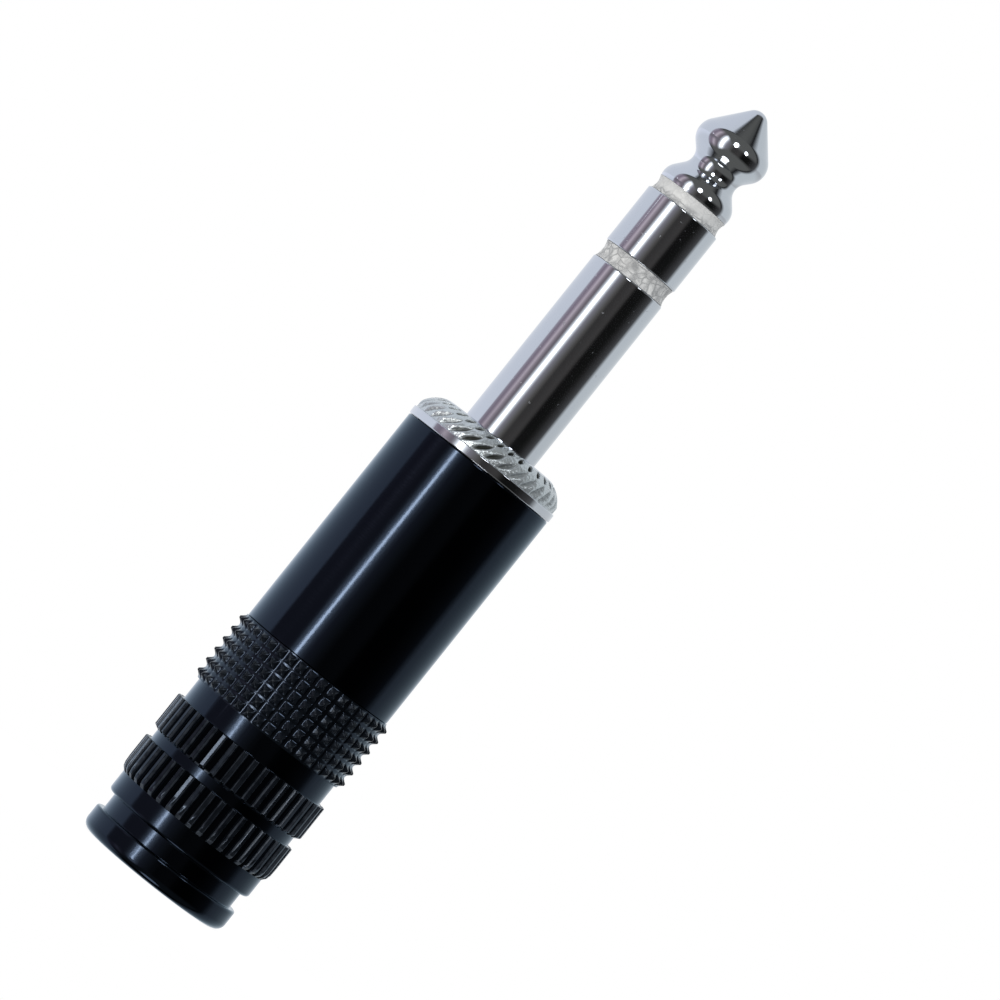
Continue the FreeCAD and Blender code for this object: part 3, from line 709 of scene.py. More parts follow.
@dataclass
class Barrel:
    """The black shell: end ring, groove, two straight knurls, a cross knurl and the tube.

    Of the straight knurls, 2 is the rear one. A run-in is how the teeth of one start: fall
    below their tops, height above their start, and corner radius. flanks and studs are in
    pitches from the middle of a tooth: flanks place the columns, and each level of a stud is
    (pitches across, pitches along, share of its depth). The marks of a straight tooth are by
    pitches from its middle, and those of a stud by share of its depth: light marks are partly
    wear and partly painted highlight, and the black groove floors are painted shade.
    worn_and_lit_ends are the lengths of the teeth's lightened ends, knurl 2 first, and
    worn_and_lit_top their half width.
    """

    length: float = 38.78
    radius: float = 6.50
    bore: float = 5.0
    thread_bore: float = 5.35
    thread_z: float = 31.60
    thread_lead: float = 0.45
    hole: float = 3.25
    flare: float = 0.60
    wall: float = 3.20
    end_ring: float = 6.47
    end_ring_z: float = 1.94
    groove: float = 5.93
    groove_z: float = 3.30
    knurl: float = 6.868
    knurl_2: Span = (5.03, 8.14)
    knurl_1: Span = (8.95, 11.96)
    seat_2: float = 6.425
    seat_1: float = 6.37
    run_in_2: tuple[Triple, ...] = (
        (0.36, 0.0, 0.0), (0.12, 0.27, 0.15), (0.03, 0.60, 0.15), (0.0, 1.20, 0.0),
    )
    run_in_1: tuple[Triple, ...] = ((0.38, 0.0, 0.0), (0.0, 0.22, 0.08))
    root: float = 6.30
    teeth: int = 42
    knurl_turn: float = 2.6
    flute_depth: float = 0.40
    flute_curve: float = 1.6
    ridge_half: float = 0.12
    floor_half: float = 0.22
    flanks: tuple[float, ...] = (0.12, 0.17, 0.215, 0.28, 0.38)
    cross: float = 6.928
    cross_z: float = 13.80
    cross_turn: float = 4.9
    rows: int = 6
    row: float = 0.985
    step: float = 0.08
    stud_depth: float = 0.36
    studs: tuple[Triple, ...] = (
        (0.06, 0.06, 0.0), (0.18, 0.18, 0.42), (0.30, 0.31, 0.82),
        (0.36, 0.39, 0.95), (0.40, 0.45, 0.995), (0.50, 0.50, 1.0),
    )
    # Light marks: partly wear, partly painted highlight. Black groove floors: painted shade.
    tooth_wear_and_light: tuple[Span, ...] = ((0.12, 0.25), (0.17, 1.0), (0.22, 0.8), (0.28, -1.0))
    stud_wear_and_light: tuple[Span, ...] = (
        (0.0, -0.7), (0.6, -0.55), (0.9, -0.1), (0.99, 0.1), (1.0, 0.12),
    )
    worn_and_lit_ends: Span = (0.3, 0.12)
    worn_and_lit_top: float = 0.19
    wear_and_light_depth: float = 0.37

    def outline(self) -> np.ndarray:
        """The closed turned outline, knurl tops included, from the hole's flare outwards.

        Returns:
            Array of (r, z) points.
        """
        k = self.knurl
        half = np.array(self.studs)[:-1, 1]
        shares = np.concatenate([[0.0], 0.5 - half[::-1], 0.5 + half])
        steps = np.append(np.arange(self.rows)[:, None] + shares, self.rows)
        rows = self.cross_z + self.row * steps
        cross_end = float(rows[-1])
        a, b = self.knurl_2, self.knurl_1
        corners = [
            (self.hole + self.flare, 0.0, 0.0),
            (self.end_ring, 0.0, 0.74),
            (self.end_ring, self.end_ring_z, 0.20),
            (self.groove, self.end_ring_z, 0.05),
            (self.groove, self.groove_z, 0.05),
            (self.radius, self.groove_z, 0.50),
            (self.radius, a[0], 0.03),
            *[(k - fall, a[0] + up, radius) for fall, up, radius in self.run_in_2],
            (k, a[1], 0.07),
            (self.seat_2, a[1], 0.04),
            (self.seat_2, b[0], 0.04),
            *[(k - fall, b[0] + up, radius) for fall, up, radius in self.run_in_1],
            (k, b[1], 0.07),
            (self.seat_1, b[1], 0.04),
            (self.seat_1, self.cross_z - 0.03, 0.0),
            (self.seat_1, self.cross_z, 0.0),
            *[(self.cross, float(z), 0.0) for z in rows],
            (self.radius - self.step, cross_end, 0.0),
            (self.radius, cross_end + self.step, 0.06),
            (self.radius, self.length, 0.12),
            (self.thread_bore + self.thread_lead, self.length, 0.06),
            (self.thread_bore, self.length - self.thread_lead, 0.0),
            (self.thread_bore, self.thread_z, 0.0),
            (self.bore, self.thread_z - 0.30, 0.0),
            (self.bore, self.wall, 0.0),
            (self.hole, self.wall, 0.15),
            (self.hole, self.flare, 0.10),
            (self.hole + self.flare, 0.0, 0.0),
        ]
        return rounded(corners)[:-1]

    def columns(self) -> np.ndarray:
        """Angles of the grid's columns, closer at the tooth's shoulders.

        Returns:
            Eleven angles a tooth: one on the floor and five on either side of its middle.
        """
        half = np.array(self.flanks)
        share = np.concatenate([[-0.5], -half[::-1], half])
        turn = (np.arange(self.teeth)[:, None] + share[None, :]) / self.teeth
        return (turn * FULL_TURN).ravel()

    def painted_light_and_wear(
        self, w: np.ndarray, z: np.ndarray, level: np.ndarray, tooth: np.ndarray, stud: np.ndarray
    ) -> np.ndarray:
        """Light shoulders and black floors of the teeth, dull tips and light valleys of the studs.

        The light marks are partly wear and partly painted highlight; the black floors are painted
        shade.

        Args:
            w: Pitches from the tooth's middle.
            z: Heights.
            level: Depth of a stud, as a share.
            tooth: True on the straight teeth.
            stud: True on the studs.

        Returns:
            Wear from -1, unpolished, to 1, rubbed. Teeth are rubbed over at their rear ends.
        """
        # Light shoulder lines: partly wear, partly painted highlight. Black floors: painted shade.
        rubbed_and_highlight = np.interp(w, *np.array(self.tooth_wear_and_light).T)
        rear_end = z < self.knurl_2[0] + self.worn_and_lit_ends[0]
        rear_end |= np.abs(z - self.knurl_1[0]) < self.worn_and_lit_ends[1]
        rubbed_and_highlight = np.where(rear_end & (w < self.worn_and_lit_top), 1.0, rubbed_and_highlight)
        return np.where(
            stud, np.interp(level, *np.array(self.stud_wear_and_light).T), np.where(tooth, rubbed_and_highlight, 0.0)
        )

    def relief(self, r: np.ndarray, z: np.ndarray, t: np.ndarray) -> tuple[np.ndarray, ...]:
        """Cuts the teeth: the radius is the smaller of the outline's and the tooth's.

        With w the distance from the tooth's middle in pitches, a straight tooth has radius
        K - D clip((w - h) / (1/2 - f - h), 0, 1)^c, round at its shoulders and sharp at the
        floor. A stud has K - D max(across, along), each read from the table of levels. At
        its foot the columns turn from the straight teeth's place to the studs' and take the
        levels' spacing, so that a stud's edges run through the grid's corners.

        Args:
            r: Outline radii.
            z: Heights.
            t: Angles from the middle of a tooth.

        Returns:
            The new radii, the same heights, the angles from +X, and the wear and painted light.
        """
        signed = (t * self.teeth / FULL_TURN + 0.5) % 1.0 - 0.5
        w = np.abs(signed)
        span = 0.5 - self.floor_half - self.ridge_half
        flute = np.clip((w - self.ridge_half) / span, 0, 1) ** self.flute_curve
        straight = self.knurl - self.flute_depth * flute
        in_ring = np.zeros(z.shape, bool)
        for low, high in (self.knurl_2, self.knurl_1):
            in_ring |= (z > low - TINY) & (z < high + TINY)
        v = np.abs(((z - self.cross_z) / self.row) % 1.0 - 0.5)
        across, along, deep = np.array(self.studs).T
        spaced = np.interp(w, (0.0, *self.flanks, 0.5), (0.0, *across))
        level = np.maximum(np.interp(spaced, across, deep), np.interp(v, along, deep))
        stud = self.cross - self.stud_depth * level
        past_foot = z > self.cross_z - TINY
        in_cross = past_foot & (z < self.cross_z + self.row * self.rows + TINY)
        on_tooth = in_ring & (r > self.knurl - self.wear_and_light_depth)
        wear_and_painted_light = self.painted_light_and_wear(w, z, level, on_tooth, in_cross & (r > self.cross - TINY))
        outside = r > self.root
        r = np.where(in_ring & outside, np.minimum(r, np.maximum(straight, self.root)), r)
        r = np.where(in_cross & outside, np.minimum(r, stud), r)
        spread = (np.copysign(spaced, signed) - signed) * FULL_TURN / self.teeth
        shift = np.radians(self.cross_turn) + spread
        return r, z, t + np.where(past_foot, shift, np.radians(self.knurl_turn)), wear_and_painted_light

    def build(self, finish: bpy.types.Material) -> None:
        """Builds the shell.

        Args:
            finish: Its material.
        """
        name = "black_knurled_barrel"
        piece = Turning(name, self.outline(), self.columns(), self.relief, ridged=True).build()
        adopt(piece, Body.BARREL, "barrel", finish)


@dataclass
class SleeveBody:
    """Finger sleeve, domed collar with slanted serrations, threaded neck and tail.

    cut_shade_deg is where round the collar the painted shade in its cuts is darkest, near the
    camera's side: middle, spread, and the share of that shade elsewhere. tilt is how the cuts'
    way in leans from radial to axial up the dome: height of its start, height of its run, and
    radians at its end. cut_squeeze is the cosine of the cuts' slant, and dent_squeeze the share
    at which height counts in a dent's size.
    """

    finger: float = 3.175
    end_z: float = 56.45
    finger_z: float = 41.32
    face: float = 4.75
    dome: float = 6.40
    dome_arc: float = 2.50
    dome_points: int = 34
    dome_low: float = 1.20
    dome_foot: float = 0.70
    dome_step: float = 0.07
    band: float = 6.56
    band_top: float = 0.66
    collar_z: float = 38.80
    neck: float = 4.70
    thread: float = 5.30
    pitch: float = 0.75
    thread_depth: float = 0.42
    thread_low: float = 32.00
    thread_high: float = 38.00
    thread_steps: int = 9
    undercut: float = 0.25
    crest: float = 0.12
    flank: float = 0.70
    tail: float = 4.50
    tail_length: float = 1.80
    bore: float = 2.35
    rear_bore: float = 2.91
    rear_bore_z: float = 32.80
    front_bore: float = 2.61
    front_bore_z: float = 55.00
    serrations: int = 35
    columns: int = 14
    first_deg: float = 7.4
    cut_z: float = 40.10
    cut_reach: float = 0.66
    cut_depth: float = 0.22
    cut_half_deg: float = 52.0
    cut_squeeze: float = 0.68
    lean: float = 1.07
    tilt: Triple = (0.9, 1.6, 1.1)
    dent_r: float = 5.4
    dent_z: float = 41.02
    dent_size: float = 0.20
    dent_depth: float = 0.30
    dent_squeeze: float = 0.85
    cut_shade_deg: Triple = (262.0, 24.0, 0.35)
    cut_shade_depths: Span = (0.02, 0.09)
    dent_shade_depth: float = 0.15

    def outline(self) -> np.ndarray:
        """The closed turned outline, from the finger's end down the collar to the bore.

        Returns:
            Array of (r, z) points, closer together on the thread and at the dome's foot.
        """
        top = [
            (self.front_bore, self.end_z, 0.0),
            (self.finger, self.end_z, 0.09),
            (self.finger, self.finger_z, 0.0),
            (self.face, self.finger_z, 0.0),
        ]
        foot, dome_z = self.collar_z + self.dome_foot, self.collar_z + self.dome_low
        rim, edge = (self.face, self.finger_z), (self.dome, dome_z)
        dome = arc_between(rim, edge, self.dome_arc, self.dome_points)
        chamfer = self.pitch / 2
        tail_z = self.thread_low - self.tail_length
        rest = [
            (self.dome, dome_z, 0.0),
            (self.dome, foot, 0.03),
            (self.band, self.collar_z + self.band_top, 0.06),
            (self.band, self.collar_z, 0.10),
            (self.neck, self.collar_z, 0.05),
            (self.neck, self.thread_high + self.undercut, 0.0),
            (self.thread, self.thread_high, 0.0),
            (self.thread, self.thread_low + chamfer, 0.0),
            (self.thread - chamfer, self.thread_low, 0.0),
            (self.tail, self.thread_low, 0.05),
            (self.tail, tail_z, 0.10),
            (self.rear_bore, tail_z, 0.0),
            (self.rear_bore, self.rear_bore_z, 0.0),
            (self.bore, self.rear_bore_z, 0.0),
            (self.bore, self.front_bore_z, 0.0),
            (self.front_bore, self.front_bore_z, 0.0),
            (self.front_bore, self.end_z, 0.0),
        ]
        step, start = self.pitch / self.thread_steps, self.thread_low + 0.3
        lower = refined(rounded(rest), step, start, self.thread_high)
        lower = refined(lower, self.dome_step, foot, dome_z)
        return np.concatenate([rounded(top)[:-1], dome[:-1], lower])[:-1]

    def dirt_and_shade(self, t: np.ndarray, cut: np.ndarray, dent: np.ndarray) -> np.ndarray:
        """Painted shade in the cuts and dents, darkest in the cuts near the camera's side.

        Args:
            t: Angles.
            cut: Depth of the cuts.
            dent: Depth of the dents.

        Returns:
            Painted shade from 0 to 1.
        """
        # The cuts' painted shade is darkest near the side that faces the camera.
        middle, spread, least = self.cut_shade_deg
        side = (np.degrees(t) - middle + 180) % 360 - 180
        side_weight = least + (1 - least) * np.exp(-((side / spread) ** 4))
        start, run = self.cut_shade_depths
        in_cut = np.clip((cut - start) / run, 0, 1) * side_weight
        return (in_cut + np.clip(dent / self.dent_shade_depth, 0, 1)).clip(0, 1)

    def relief(self, r: np.ndarray, z: np.ndarray, t: np.ndarray) -> tuple[np.ndarray, ...]:
        """Cuts the serrations, the dents in front of them and the thread.

        A serration k is a V of depth D (1 - (s/L)^2), where s is the height above the cuts'
        middle and the V's middle leans by angle k + lean s / R. A dent of depth D (1 - d^2)
        is an oval hollow in line with each serration, longer down the dome. The thread's
        depth is a 60 degree wave in z / pitch - t / (2 pi), so its helix is right-handed.

        Args:
            r: Outline radii.
            z: Heights.
            t: Angles.

        Returns:
            The new radii and heights, the same angles and the painted shade of the cuts and dents.
        """
        on_dome = (z > self.collar_z + self.dome_foot) & (r > self.face)
        s = z - self.cut_z
        depth = self.cut_depth * np.clip(1 - (s / self.cut_reach) ** 2, 0, 1)
        leaned = t - math.radians(self.first_deg) - self.lean * s / self.dome
        pitch = FULL_TURN / self.serrations
        along = (leaned * self.serrations / FULL_TURN + 0.5) % 1.0 - 0.5
        off = np.abs(along) * pitch * self.dome * self.cut_squeeze
        cut = np.clip(depth - off / math.tan(math.radians(self.cut_half_deg)), 0, None)
        away = np.hypot(along * pitch * self.dent_r, (z - self.dent_z) * self.dent_squeeze)
        dent = self.dent_depth * np.clip(1 - (away / self.dent_size) ** 2, 0, 1)
        fall = np.where(on_dome, cut + dent, 0.0)
        start, run, most = self.tilt
        tilt = np.clip((z - self.collar_z - start) / run, 0, 1) * most
        cut_r, cut_z = r - fall * np.cos(tilt), z - fall * np.sin(tilt)
        on_thread = (np.abs(r - self.thread) < TINY) & (z < self.thread_high + TINY)
        wave = np.abs(((z / self.pitch - t / FULL_TURN) % 1.0) - 0.5) * 2
        groove = self.thread_depth * np.clip((wave - self.crest) / self.flank, 0, 1)
        # Painted shade, near black, in the dome's cuts and dents.
        painted_cut_shade = np.where(on_dome, self.dirt_and_shade(t, cut, dent), 0.0)
        return np.where(on_thread, r - groove, cut_r), cut_z, t, painted_cut_shade

    def build(self, finish: bpy.types.Material) -> None:
        """Builds the body.

        Args:
            finish: Its material.
        """
        angles = around(self.serrations * self.columns)
        name = "chrome_sleeve_and_collar"
        piece = Turning(name, self.outline(), angles, self.relief, 38.0).build()
        adopt(piece, Body.CONTACTS, "sleeve_body", finish)


@dataclass(frozen=True)
class Insulator:
    """A white ring with a hollowed waist and a spigot at its back.

    The spigot is (radius, length, bore radius), rim is the radius at the ring's faces and
    waist the least one. Its edges are broken by edge and its spigot's by chamfer. node is
    the CAD node's name, and points lie on the waist out to the share named inner.
    """

    node: str
    low: float
    high: float
    spigot: Triple
    rim: float
    waist: float
    edge: float = 0.09
    chamfer: float = 0.06
    hollow: float = 0.8
    inner: float = 0.94
    points: int = 15

    def build(self, finish: bpy.types.Material) -> None:
        """Turns r = rim - (rim - waist) (1 - x^2)^hollow, with x from -1 to 1 over its width.

        Args:
            finish: Its material.
        """
        inside = np.linspace(-self.inner, self.inner, self.points)
        x = np.concatenate([[-1], inside, [1]])
        belly = self.rim - (self.rim - self.waist) * (1 - x * x) ** self.hollow
        belly = belly - self.edge * (np.abs(x) == 1)
        belly = np.stack([belly, self.low + (self.high - self.low) * (x + 1) / 2], axis=1)
        r, length, bore = self.spigot
        end, c = self.low - length, self.chamfer
        back = np.array([[bore, end], [r - c, end], [r, end + c], [r, self.low]])
        outline = np.concatenate([back, belly, [[bore, self.high]]])
        piece = Turning(self.node + "_collar", outline, sharp_deg=50.0).build()
        adopt(piece, Body.CONTACTS, self.node, finish)


@dataclass
class Finger:
    """The insulator rings, the ring contact and the tip in front of the sleeve.

    The tip's shoulder is (radius, corner radius); its waist and ball are (radius, height
    above the tip's foot, arc radius). rod is the radius of the rod's hole, and rod_hole the
    heights of its bottom and of its drill point. arc_points are those on the shoulder, which
    the nose has too, on the waist and on the ball.
    """

    radius: float = 3.175
    sleeve_end: float = 56.45
    ring_start: float = 57.89
    ring_end: float = 62.95
    ring_bores: Triple = (1.91, 1.33, 1.61)
    ring_seats: Span = (3.00, 1.40)
    tip_z: float = 64.13
    cone_deg: float = 39.9
    shoulder: Span = (3.05, 1.33)
    waist: Triple = (2.00, 2.49, 1.05)
    ball: Triple = (3.03, 4.61, 1.50)
    nose: float = 1.0
    rod: float = 0.91
    rod_hole: Span = (4.0, 4.4)
    arc_points: tuple[int, int, int] = (16, 20, 28)
    cone_points: int = 14

    def insulators(self) -> Sequence[Insulator]:
        """The rings behind and in front of the ring contact."""
        return (
            Insulator("ring_insulator", self.sleeve_end, self.ring_start,
                      (2.60, 1.45, self.ring_bores[0]), 3.12, 2.945),
            Insulator("tip_insulator", self.ring_end, self.tip_z,
                      (1.60, 1.40, self.rod), 3.05, 2.87),
        )

    def ring(self, finish: bpy.types.Material) -> None:
        """The ring contact, stepped inside for its tube and for the tip insulator.

        Args:
            finish: Its material.
        """
        rear, middle, front = self.ring_bores
        low, high = self.ring_start + self.ring_seats[0], self.ring_end - self.ring_seats[1]
        corners = [
            (rear, self.ring_start, 0.0),
            (self.radius, self.ring_start, 0.09),
            (self.radius, self.ring_end, 0.09),
            (front, self.ring_end, 0.0),
            (front, high, 0.0),
            (middle, high, 0.0),
            (middle, low, 0.0),
            (rear, low, 0.0),
            (rear, self.ring_start, 0.0),
        ]
        piece = Turning("chrome_ring", rounded(corners)[:-1]).build()
        adopt(piece, Body.CONTACTS, "ring", finish)

    def tip_outline(self) -> np.ndarray:
        """Shoulder arc, back flank, waist arc, front flank, ball arc, cone and nose arc.

        The front flank is the inner tangent of the waist and ball circles: it leaves the
        line of centres by acos((waist + ball) / distance).

        Returns:
            Array of (r, z) points, from the axis to the axis.
        """
        a = math.radians(self.cone_deg)
        few, more, most = self.arc_points
        wr, wz, wq = self.waist
        br, bz, bq = self.ball
        w = np.array([wr + wq, self.tip_z + wz])
        b = np.array([br - bq, self.tip_z + bz])
        d = b - w
        front = math.atan2(d[1], d[0]) + math.acos((wq + bq) / float(np.hypot(*d)))
        waist = w + wq * circle(np.linspace(math.pi + a, front, more))
        ball = b + bq * circle(np.linspace(front - math.pi, a, most))
        top = (math.cos(a) * b[0] + math.sin(a) * b[1] + bq - self.nose) / math.sin(a)
        nose = np.array([0.0, top]) + self.nose * circle(np.linspace(a, math.pi / 2, few))
        high, q = self.shoulder
        crown_z = waist[0, 1] - (high - waist[0, 0]) / math.tan(a) - q * math.tan(a / 2)
        foot = -math.asin((crown_z - self.tip_z) / q)
        crown = np.array([high - q, crown_z]) + q * circle(np.linspace(foot, a, few))
        bottom, point = self.tip_z + np.array(self.rod_hole)
        rear = np.array([[0.0, point], [self.rod, bottom], [self.rod, self.tip_z]])
        share = np.linspace(0.99, 0.01, self.cone_points)[:, None]
        cone = nose[0] + (ball[-1] - nose[0]) * share
        nose[-1, 0] = 0.0
        return np.concatenate([rear, crown, waist, ball, cone, nose])

    def build(self, chrome: bpy.types.Material, nylon: bpy.types.Material) -> None:
        """Builds the four pieces from the sleeve to the tip.

        Args:
            chrome: Material of the contacts.
            nylon: Material of the insulators.
        """
        behind, in_front = self.insulators()
        behind.build(nylon)
        self.ring(chrome)
        in_front.build(nylon)
        piece = Turning("chrome_tip", self.tip_outline(), sharp_deg=50.0).build()
        adopt(piece, Body.CONTACTS, "tip", chrome)


@dataclass
class Inside:
    """The CAD pieces behind the collar and round the rod; drawn is the grain of a draw."""

    brass: Colour = (0.66, 0.47, 0.20, 1.0)
    steel: Colour = (0.55, 0.55, 0.56, 1.0)
    tin: Colour = (0.62, 0.60, 0.55, 1.0)
    cream: Colour = (0.70, 0.68, 0.62, 1.0)
    black: Colour = (0.03, 0.03, 0.032, 1.0)
    drawn: Triple = (1.0, 1.0, 0.04)

    def build(self) -> None:
        """Gives each inner CAD node its finish."""
        tinned = PlainMetal("tinned_brass", self.tin, 0.32).material()
        cream = MouldedPlastic("cream_nylon", self.cream).material()
        black = MouldedPlastic("black_bush", self.black).material()
        finishes = {
            "tip_rod": PlainMetal("drawn_steel", self.steel, 0.28, self.drawn).material(),
            "ring_tube": PlainMetal("drawn_brass", self.brass, 0.28, self.drawn).material(),
            "rod_tube": cream, "ring_tube_liner": cream,
            "rear_bush": black, "lug_separator": black,
            "ring_lug": tinned, "tip_lug": tinned, "sleeve_lug": tinned,
            "liner": ClearTube().material(),
        }
        for node, finish in finishes.items():
            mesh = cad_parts[node].data
            mesh.materials.clear()
            mesh.materials.append(finish)
            LOG.info("%s dressed as %s", node, finish.name)


# ---- studio


@dataclass(frozen=True)
class Lamp:
    """An area lamp, placed by its direction from the plug; angles are degrees.

    Azimuth 0 is the camera's side and negative is its left.
    """

    name: str
    azimuth: float
    elevation: float
    wide: float
    tall: float
    radiance: float
    shape: str = "ELLIPSE"
    colour: Triple = (1.0, 1.0, 1.0)


@dataclass
class Studio:
    """Camera of the photograph, white floor, pale surroundings and the lamps.

    scale is the picture's pixels a millimetre at the plug, axis the direction of the plug in
    the picture, and reach the distance of the lamps. front_ramp is what the metal mirrors in
    front of the plug by degrees of azimuth, and the whites are what it mirrors behind it.
    The other spans are coordinates of a reflection's direction, from -1 to 1: low ones lie
    just under the horizon, where low_left_end is in degrees of azimuth, and steep ones
    further above or below it, which on the left is steep_more further. Each edge is the
    depth at which the white begins on its side.
    """

    scale: float = 13.54
    picture: int = 1000
    sensor: float = 36.0
    distance: float = 0.490
    foot_z: float = 0.0335
    aim: Triple = (0.00273, 0.0, 0.0379)
    axis: Span = (0.62475, 0.78082)
    floor_r: float = 0.030
    floor_z: float = -0.00001
    floor_glow: float = 1.12
    floor_share: float = 0.85
    even: float = 0.60
    reach: float = 0.5
    lamp_z: float = 0.05
    front_ramp: tuple[tuple[float, Triple], ...] = (
        (-85, (0.50, 0.44, 0.50)), (-81, (0.44, 0.38, 0.45)), (-77, (0.35, 0.285, 0.345)),
        (-73.5, (0.36, 0.285, 0.345)), (-69, (0.56, 0.46, 0.52)), (-65, (0.80, 0.67, 0.72)),
        (-61, (0.58, 0.48, 0.52)), (-57, (0.37, 0.31, 0.34)), (-51, (0.22, 0.18, 0.20)),
        (-47, (0.45, 0.44, 0.46)), (-43, (1.1, 1.1, 1.1)), (-40.5, (2.0, 2.0, 2.0)),
        (-31, (2.0, 2.0, 2.0)), (-28.5, (1.1, 1.1, 1.1)), (-25.5, (0.58, 0.57, 0.60)),
        (-22, (0.32, 0.30, 0.33)), (-14, (0.21, 0.20, 0.20)), (-7, (0.13, 0.12, 0.11)),
        (0, (0.06, 0.056, 0.052)), (4, (0.057, 0.052, 0.049)), (21, (0.072, 0.066, 0.062)),
        (26, (0.060, 0.055, 0.051)), (31.5, (0.018, 0.017, 0.016)),
        (36, (0.009, 0.0085, 0.008)), (55, (0.010, 0.010, 0.009)),
        (64, (0.021, 0.020, 0.019)), (81, (0.063, 0.061, 0.060)), (88, (0.10, 0.10, 0.10)),
    )
    low_top: Span = (-0.02, 0.03)
    low_foot: Span = (-0.30, -0.08)
    low_left_end: Span = (-48.6, -43.2)
    steep: Span = (0.22, 0.45)
    steep_left: Span = (-0.5, -0.2)
    steep_more: float = 0.3
    sides: Span = (-0.3, 0.3)
    sides_behind: Span = (-0.6, 0.6)
    grey_depth: Span = (0.10, 0.21)
    edge_left: Span = (0.12, 0.05)
    edge_right: Span = (0.02, -0.19)
    edge_steep: float = 0.07
    edge_side: float = 0.06
    white_foot: Span = (-0.92, -0.78)
    low_left: Colour = (0.265, 0.232, 0.262, 1.0)
    grey_dark: Colour = (0.02, 0.02, 0.021, 1.0)
    grey_light: Colour = (0.152, 0.150, 0.138, 1.0)
    white_left: Colour = (0.945, 0.97, 1.035, 1.0)
    white_low_left: Colour = (1.08, 1.10, 1.20, 1.0)
    white_right: Colour = (0.82, 0.85, 0.85, 1.0)
    white_low_right: Colour = (0.66, 0.67, 0.67, 1.0)
    lamps: tuple[Lamp, ...] = (
        Lamp("key_core", -35.3, 0.0, 3.4, 44.0, 17.0, "RECTANGLE", (1.0, 0.92, 0.82)),
        Lamp("key_inner", -35.6, 0.0, 7.4, 44.0, 2.6, "RECTANGLE"),
        Lamp("left_spot", -76.0, 7.0, 4.0, 5.0, 1.0),
        Lamp("top_spot", 0.0, 32.0, 13.0, 27.0, 7.0),
        Lamp("right_spot", 40.0, 28.0, 10.5, 18.0, 6.0),
        Lamp("low_panel", 0.0, -72.0, 18.0, 20.0, 3.6),
    )

    def camera(self) -> None:
        """Square-on camera, rolled so that the axis runs up to the right of the picture.

        Its lens is the sensor's width times distance over the picture's width at the plug.
        """
        data = bpy.data.cameras.new("camera")
        data.sensor_width = self.sensor
        data.sensor_fit = "HORIZONTAL"
        data.lens = self.sensor * self.distance / (self.picture / self.scale * MM)
        data.clip_start = 0.01
        place = Vector((self.aim[0], -self.distance, self.foot_z))
        back = (place - Vector(self.aim)).normalized()
        right = Vector((self.axis[1], 0.0, self.axis[0]))
        right = (right - back * right.dot(back)).normalized()
        turn = Matrix((right, back.cross(right), back)).transposed().to_4x4()
        camera = bpy.data.objects.new("camera", data)
        camera.matrix_world = Matrix.Translation(place) @ turn
        bpy.context.scene.collection.objects.link(camera)
        bpy.context.scene.camera = camera

    def floor(self) -> None:
        """A small white round floor with the plug's soft shadow.

        It is clear to reflections and from below.
        """
        rim = circle(around(96)) * self.floor_r
        rim = np.column_stack([rim, np.full(len(rim), self.floor_z)])
        mesh = bpy.data.meshes.new("floor")
        mesh.from_pydata(rim.tolist(), [], [list(range(len(rim)))])
        floor = bpy.data.objects.new("floor", mesh)
        bpy.context.scene.collection.objects.link(floor)
        g = Graph(bpy.data.materials.new("white_floor"))
        ray = g.add("ShaderNodeLightPath").outputs
        seen = g.math("MAXIMUM", ray["Is Camera Ray"], ray["Is Transmission Ray"])
        paint = g.add("ShaderNodeBsdfDiffuse", Color=(0.85, 0.85, 0.86, 1.0))
        glow = g.add("ShaderNodeEmission", Color=(1.0, 1.0, 1.0, 1.0), Strength=self.floor_glow)
        lit = g.blend(g.times(seen, self.floor_share), paint, glow)
        below = g.add("ShaderNodeNewGeometry").outputs["Backfacing"]
        open_to = g.math("MAXIMUM", ray["Is Glossy Ray"], below)
        shown = g.blend(open_to, lit, g.add("ShaderNodeBsdfTransparent"))
        g.feed(g.output.inputs[0], shown.outputs[0])
        mesh.materials.append(g.owner)

    def ramp(self, g: Graph, place: Socket) -> Socket:
        """Colours in front of the plug by azimuth.

        Args:
            g: The world's graph.
            place: Azimuth from -180 to 180 degrees as 0 to 1.

        Returns:
            The colour.
        """
        ramp = g.add("ShaderNodeValToRGB", Fac=place)
        points = ramp.color_ramp.elements
        for index, (degrees, colour) in enumerate(self.front_ramp):
            stop = points[index] if index < 2 else points.new(1.0)
            stop.position = (degrees + 180) / 360
            stop.color = (*colour, 1.0)
        return ramp.outputs[0]

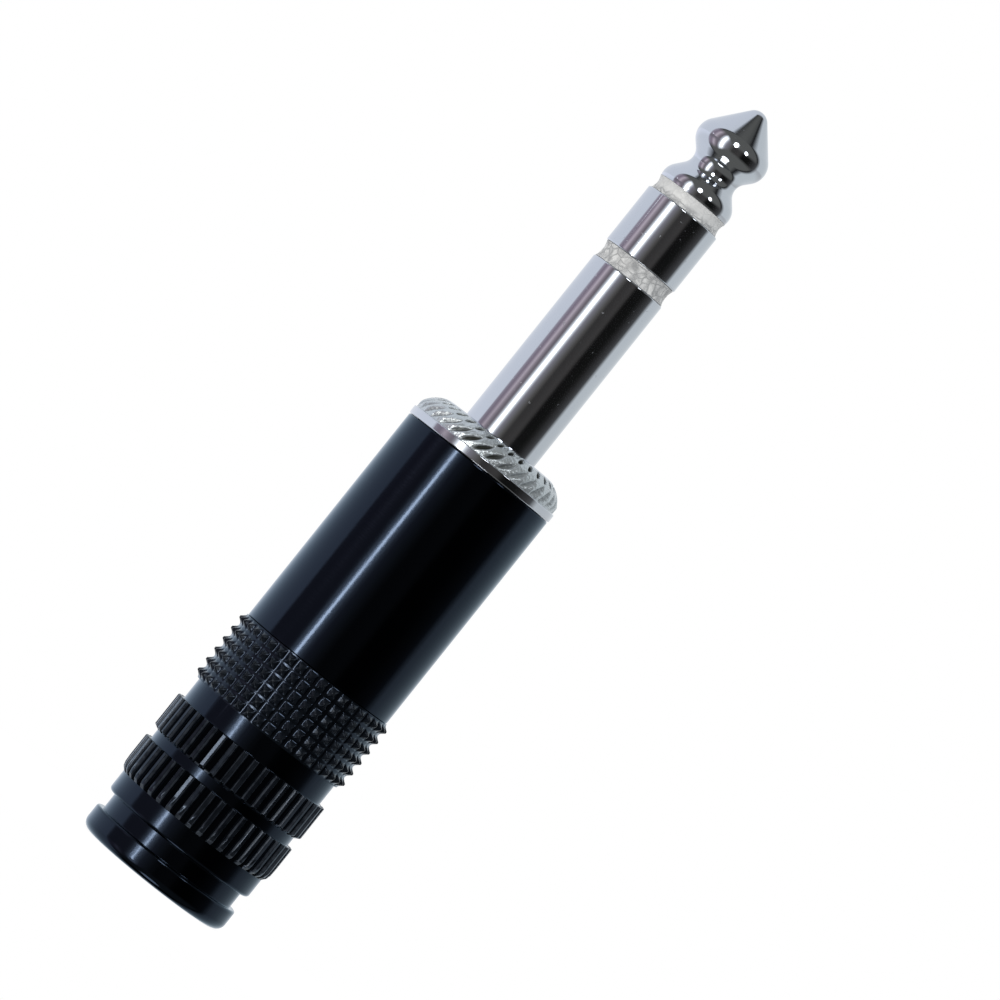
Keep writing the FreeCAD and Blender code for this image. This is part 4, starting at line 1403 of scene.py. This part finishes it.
    def mirrored(self, g: Graph) -> Socket:
        """What the metal mirrors: white behind the plug and a dark studio in front of it.

        A reflection's azimuth is atan2(x, -y), so 0 is the camera's side and -90 degrees its
        left. The ramp of azimuths holds near the horizon, a plain grey above and below, and
        the white begins at a depth -y that is further back on the right.

        Args:
            g: The world's graph.

        Returns:
            The colour.
        """
        x, y, z = g.axes()
        front = g.times(y, -1.0)
        place = g.remap(g.math("ARCTAN2", x, front), -math.pi, math.pi)
        low = g.times(g.remap(z, *self.low_top, 1.0, 0.0), g.remap(z, *self.low_foot))
        left_end = [(degrees + 180) / 360 for degrees in self.low_left_end]
        left = g.times(low, g.remap(place, *left_end, 1.0, 0.0))
        near = g.mix(left, self.ramp(g, place), self.low_left)
        height = g.math("ABSOLUTE", z, 0.0)
        level = g.minus(height, g.remap(x, *self.steep_left, self.steep_more, 0.0))
        side = g.remap(x, *self.sides)
        depth = g.plus(front, g.times(height, self.edge_steep))
        shade = g.remap(g.plus(depth, g.times(side, self.edge_side)), *self.grey_depth)
        grey = g.mix(shade, self.grey_dark, self.grey_light)
        studio = g.mix(g.remap(level, *self.steep), near, grey)
        right = g.mix(low, self.white_right, self.white_low_right)
        far_left = g.mix(low, self.white_left, self.white_low_left)
        behind = g.mix(g.remap(x, *self.sides_behind), far_left, right)
        edge = g.mix(side, g.remap(depth, *self.edge_left), g.remap(depth, *self.edge_right))
        edge = g.times(edge, g.remap(z, *self.white_foot))
        return g.mix(edge, studio, behind)

    def surroundings(self) -> None:
        """White to the camera, the studio to mirrors and even light to matt surfaces."""
        world = bpy.data.worlds.new("studio")
        bpy.context.scene.world = world
        g = Graph(world, "ShaderNodeOutputWorld", "Generated")
        background, white = "ShaderNodeBackground", (1.0, 1.0, 1.0, 1.0)
        shown = g.add(background, Color=self.mirrored(g), Strength=1.0)
        even = g.add(background, Color=white, Strength=self.even)
        plain = g.add(background, Color=white, Strength=1.0)
        ray = g.add("ShaderNodeLightPath").outputs
        shiny = g.math("MAXIMUM", ray["Is Glossy Ray"], ray["Is Transmission Ray"])
        whole = g.blend(ray["Is Camera Ray"], g.blend(shiny, even, shown), plain)
        g.feed(g.output.inputs[0], whole.outputs[0])

    def lamp(self, lamp: Lamp) -> None:
        """Adds an area lamp that faces the plug; its power is radiance x pi x area.

        Args:
            lamp: The lamp.
        """
        data = bpy.data.lights.new(lamp.name, "AREA")
        data.shape = lamp.shape
        data.size = 2 * self.reach * math.tan(math.radians(lamp.wide / 2))
        data.size_y = 2 * self.reach * math.tan(math.radians(lamp.tall / 2))
        fill = math.pi / 4 if lamp.shape == "ELLIPSE" else 1.0
        data.color = lamp.colour
        data.energy = lamp.radiance * math.pi * data.size * data.size_y * fill
        a, e = math.radians(lamp.azimuth), math.radians(lamp.elevation)
        back = Vector((math.cos(e) * math.sin(a), -math.cos(e) * math.cos(a), math.sin(e)))
        right = Vector((math.cos(a), math.sin(a), 0.0))
        turn = Matrix((right, back.cross(right), back)).transposed().to_4x4()
        place = Vector((0, 0, self.lamp_z)) + back * self.reach
        piece = bpy.data.objects.new(lamp.name, data)
        piece.matrix_world = Matrix.Translation(place) @ turn
        bpy.context.scene.collection.objects.link(piece)

    def build(self) -> None:
        """Camera, floor, surroundings and lamps; colours are shown as they are."""
        bpy.context.scene.view_settings.view_transform = "Standard"
        self.camera()
        self.floor()
        self.surroundings()
        for lamp in self.lamps:
            self.lamp(lamp)


def main() -> None:
    """Builds and dresses the plug and sets the studio."""
    logging.basicConfig(level=logging.INFO, format="%(name)s %(message)s")
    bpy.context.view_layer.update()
    chrome = Chrome().material()
    Barrel().build(BlackPlating().material())
    SleeveBody().build(chrome)
    Finger().build(chrome, Nylon().material())
    Inside().build()
    Studio().build()


if __name__ == "__main__":
    main()
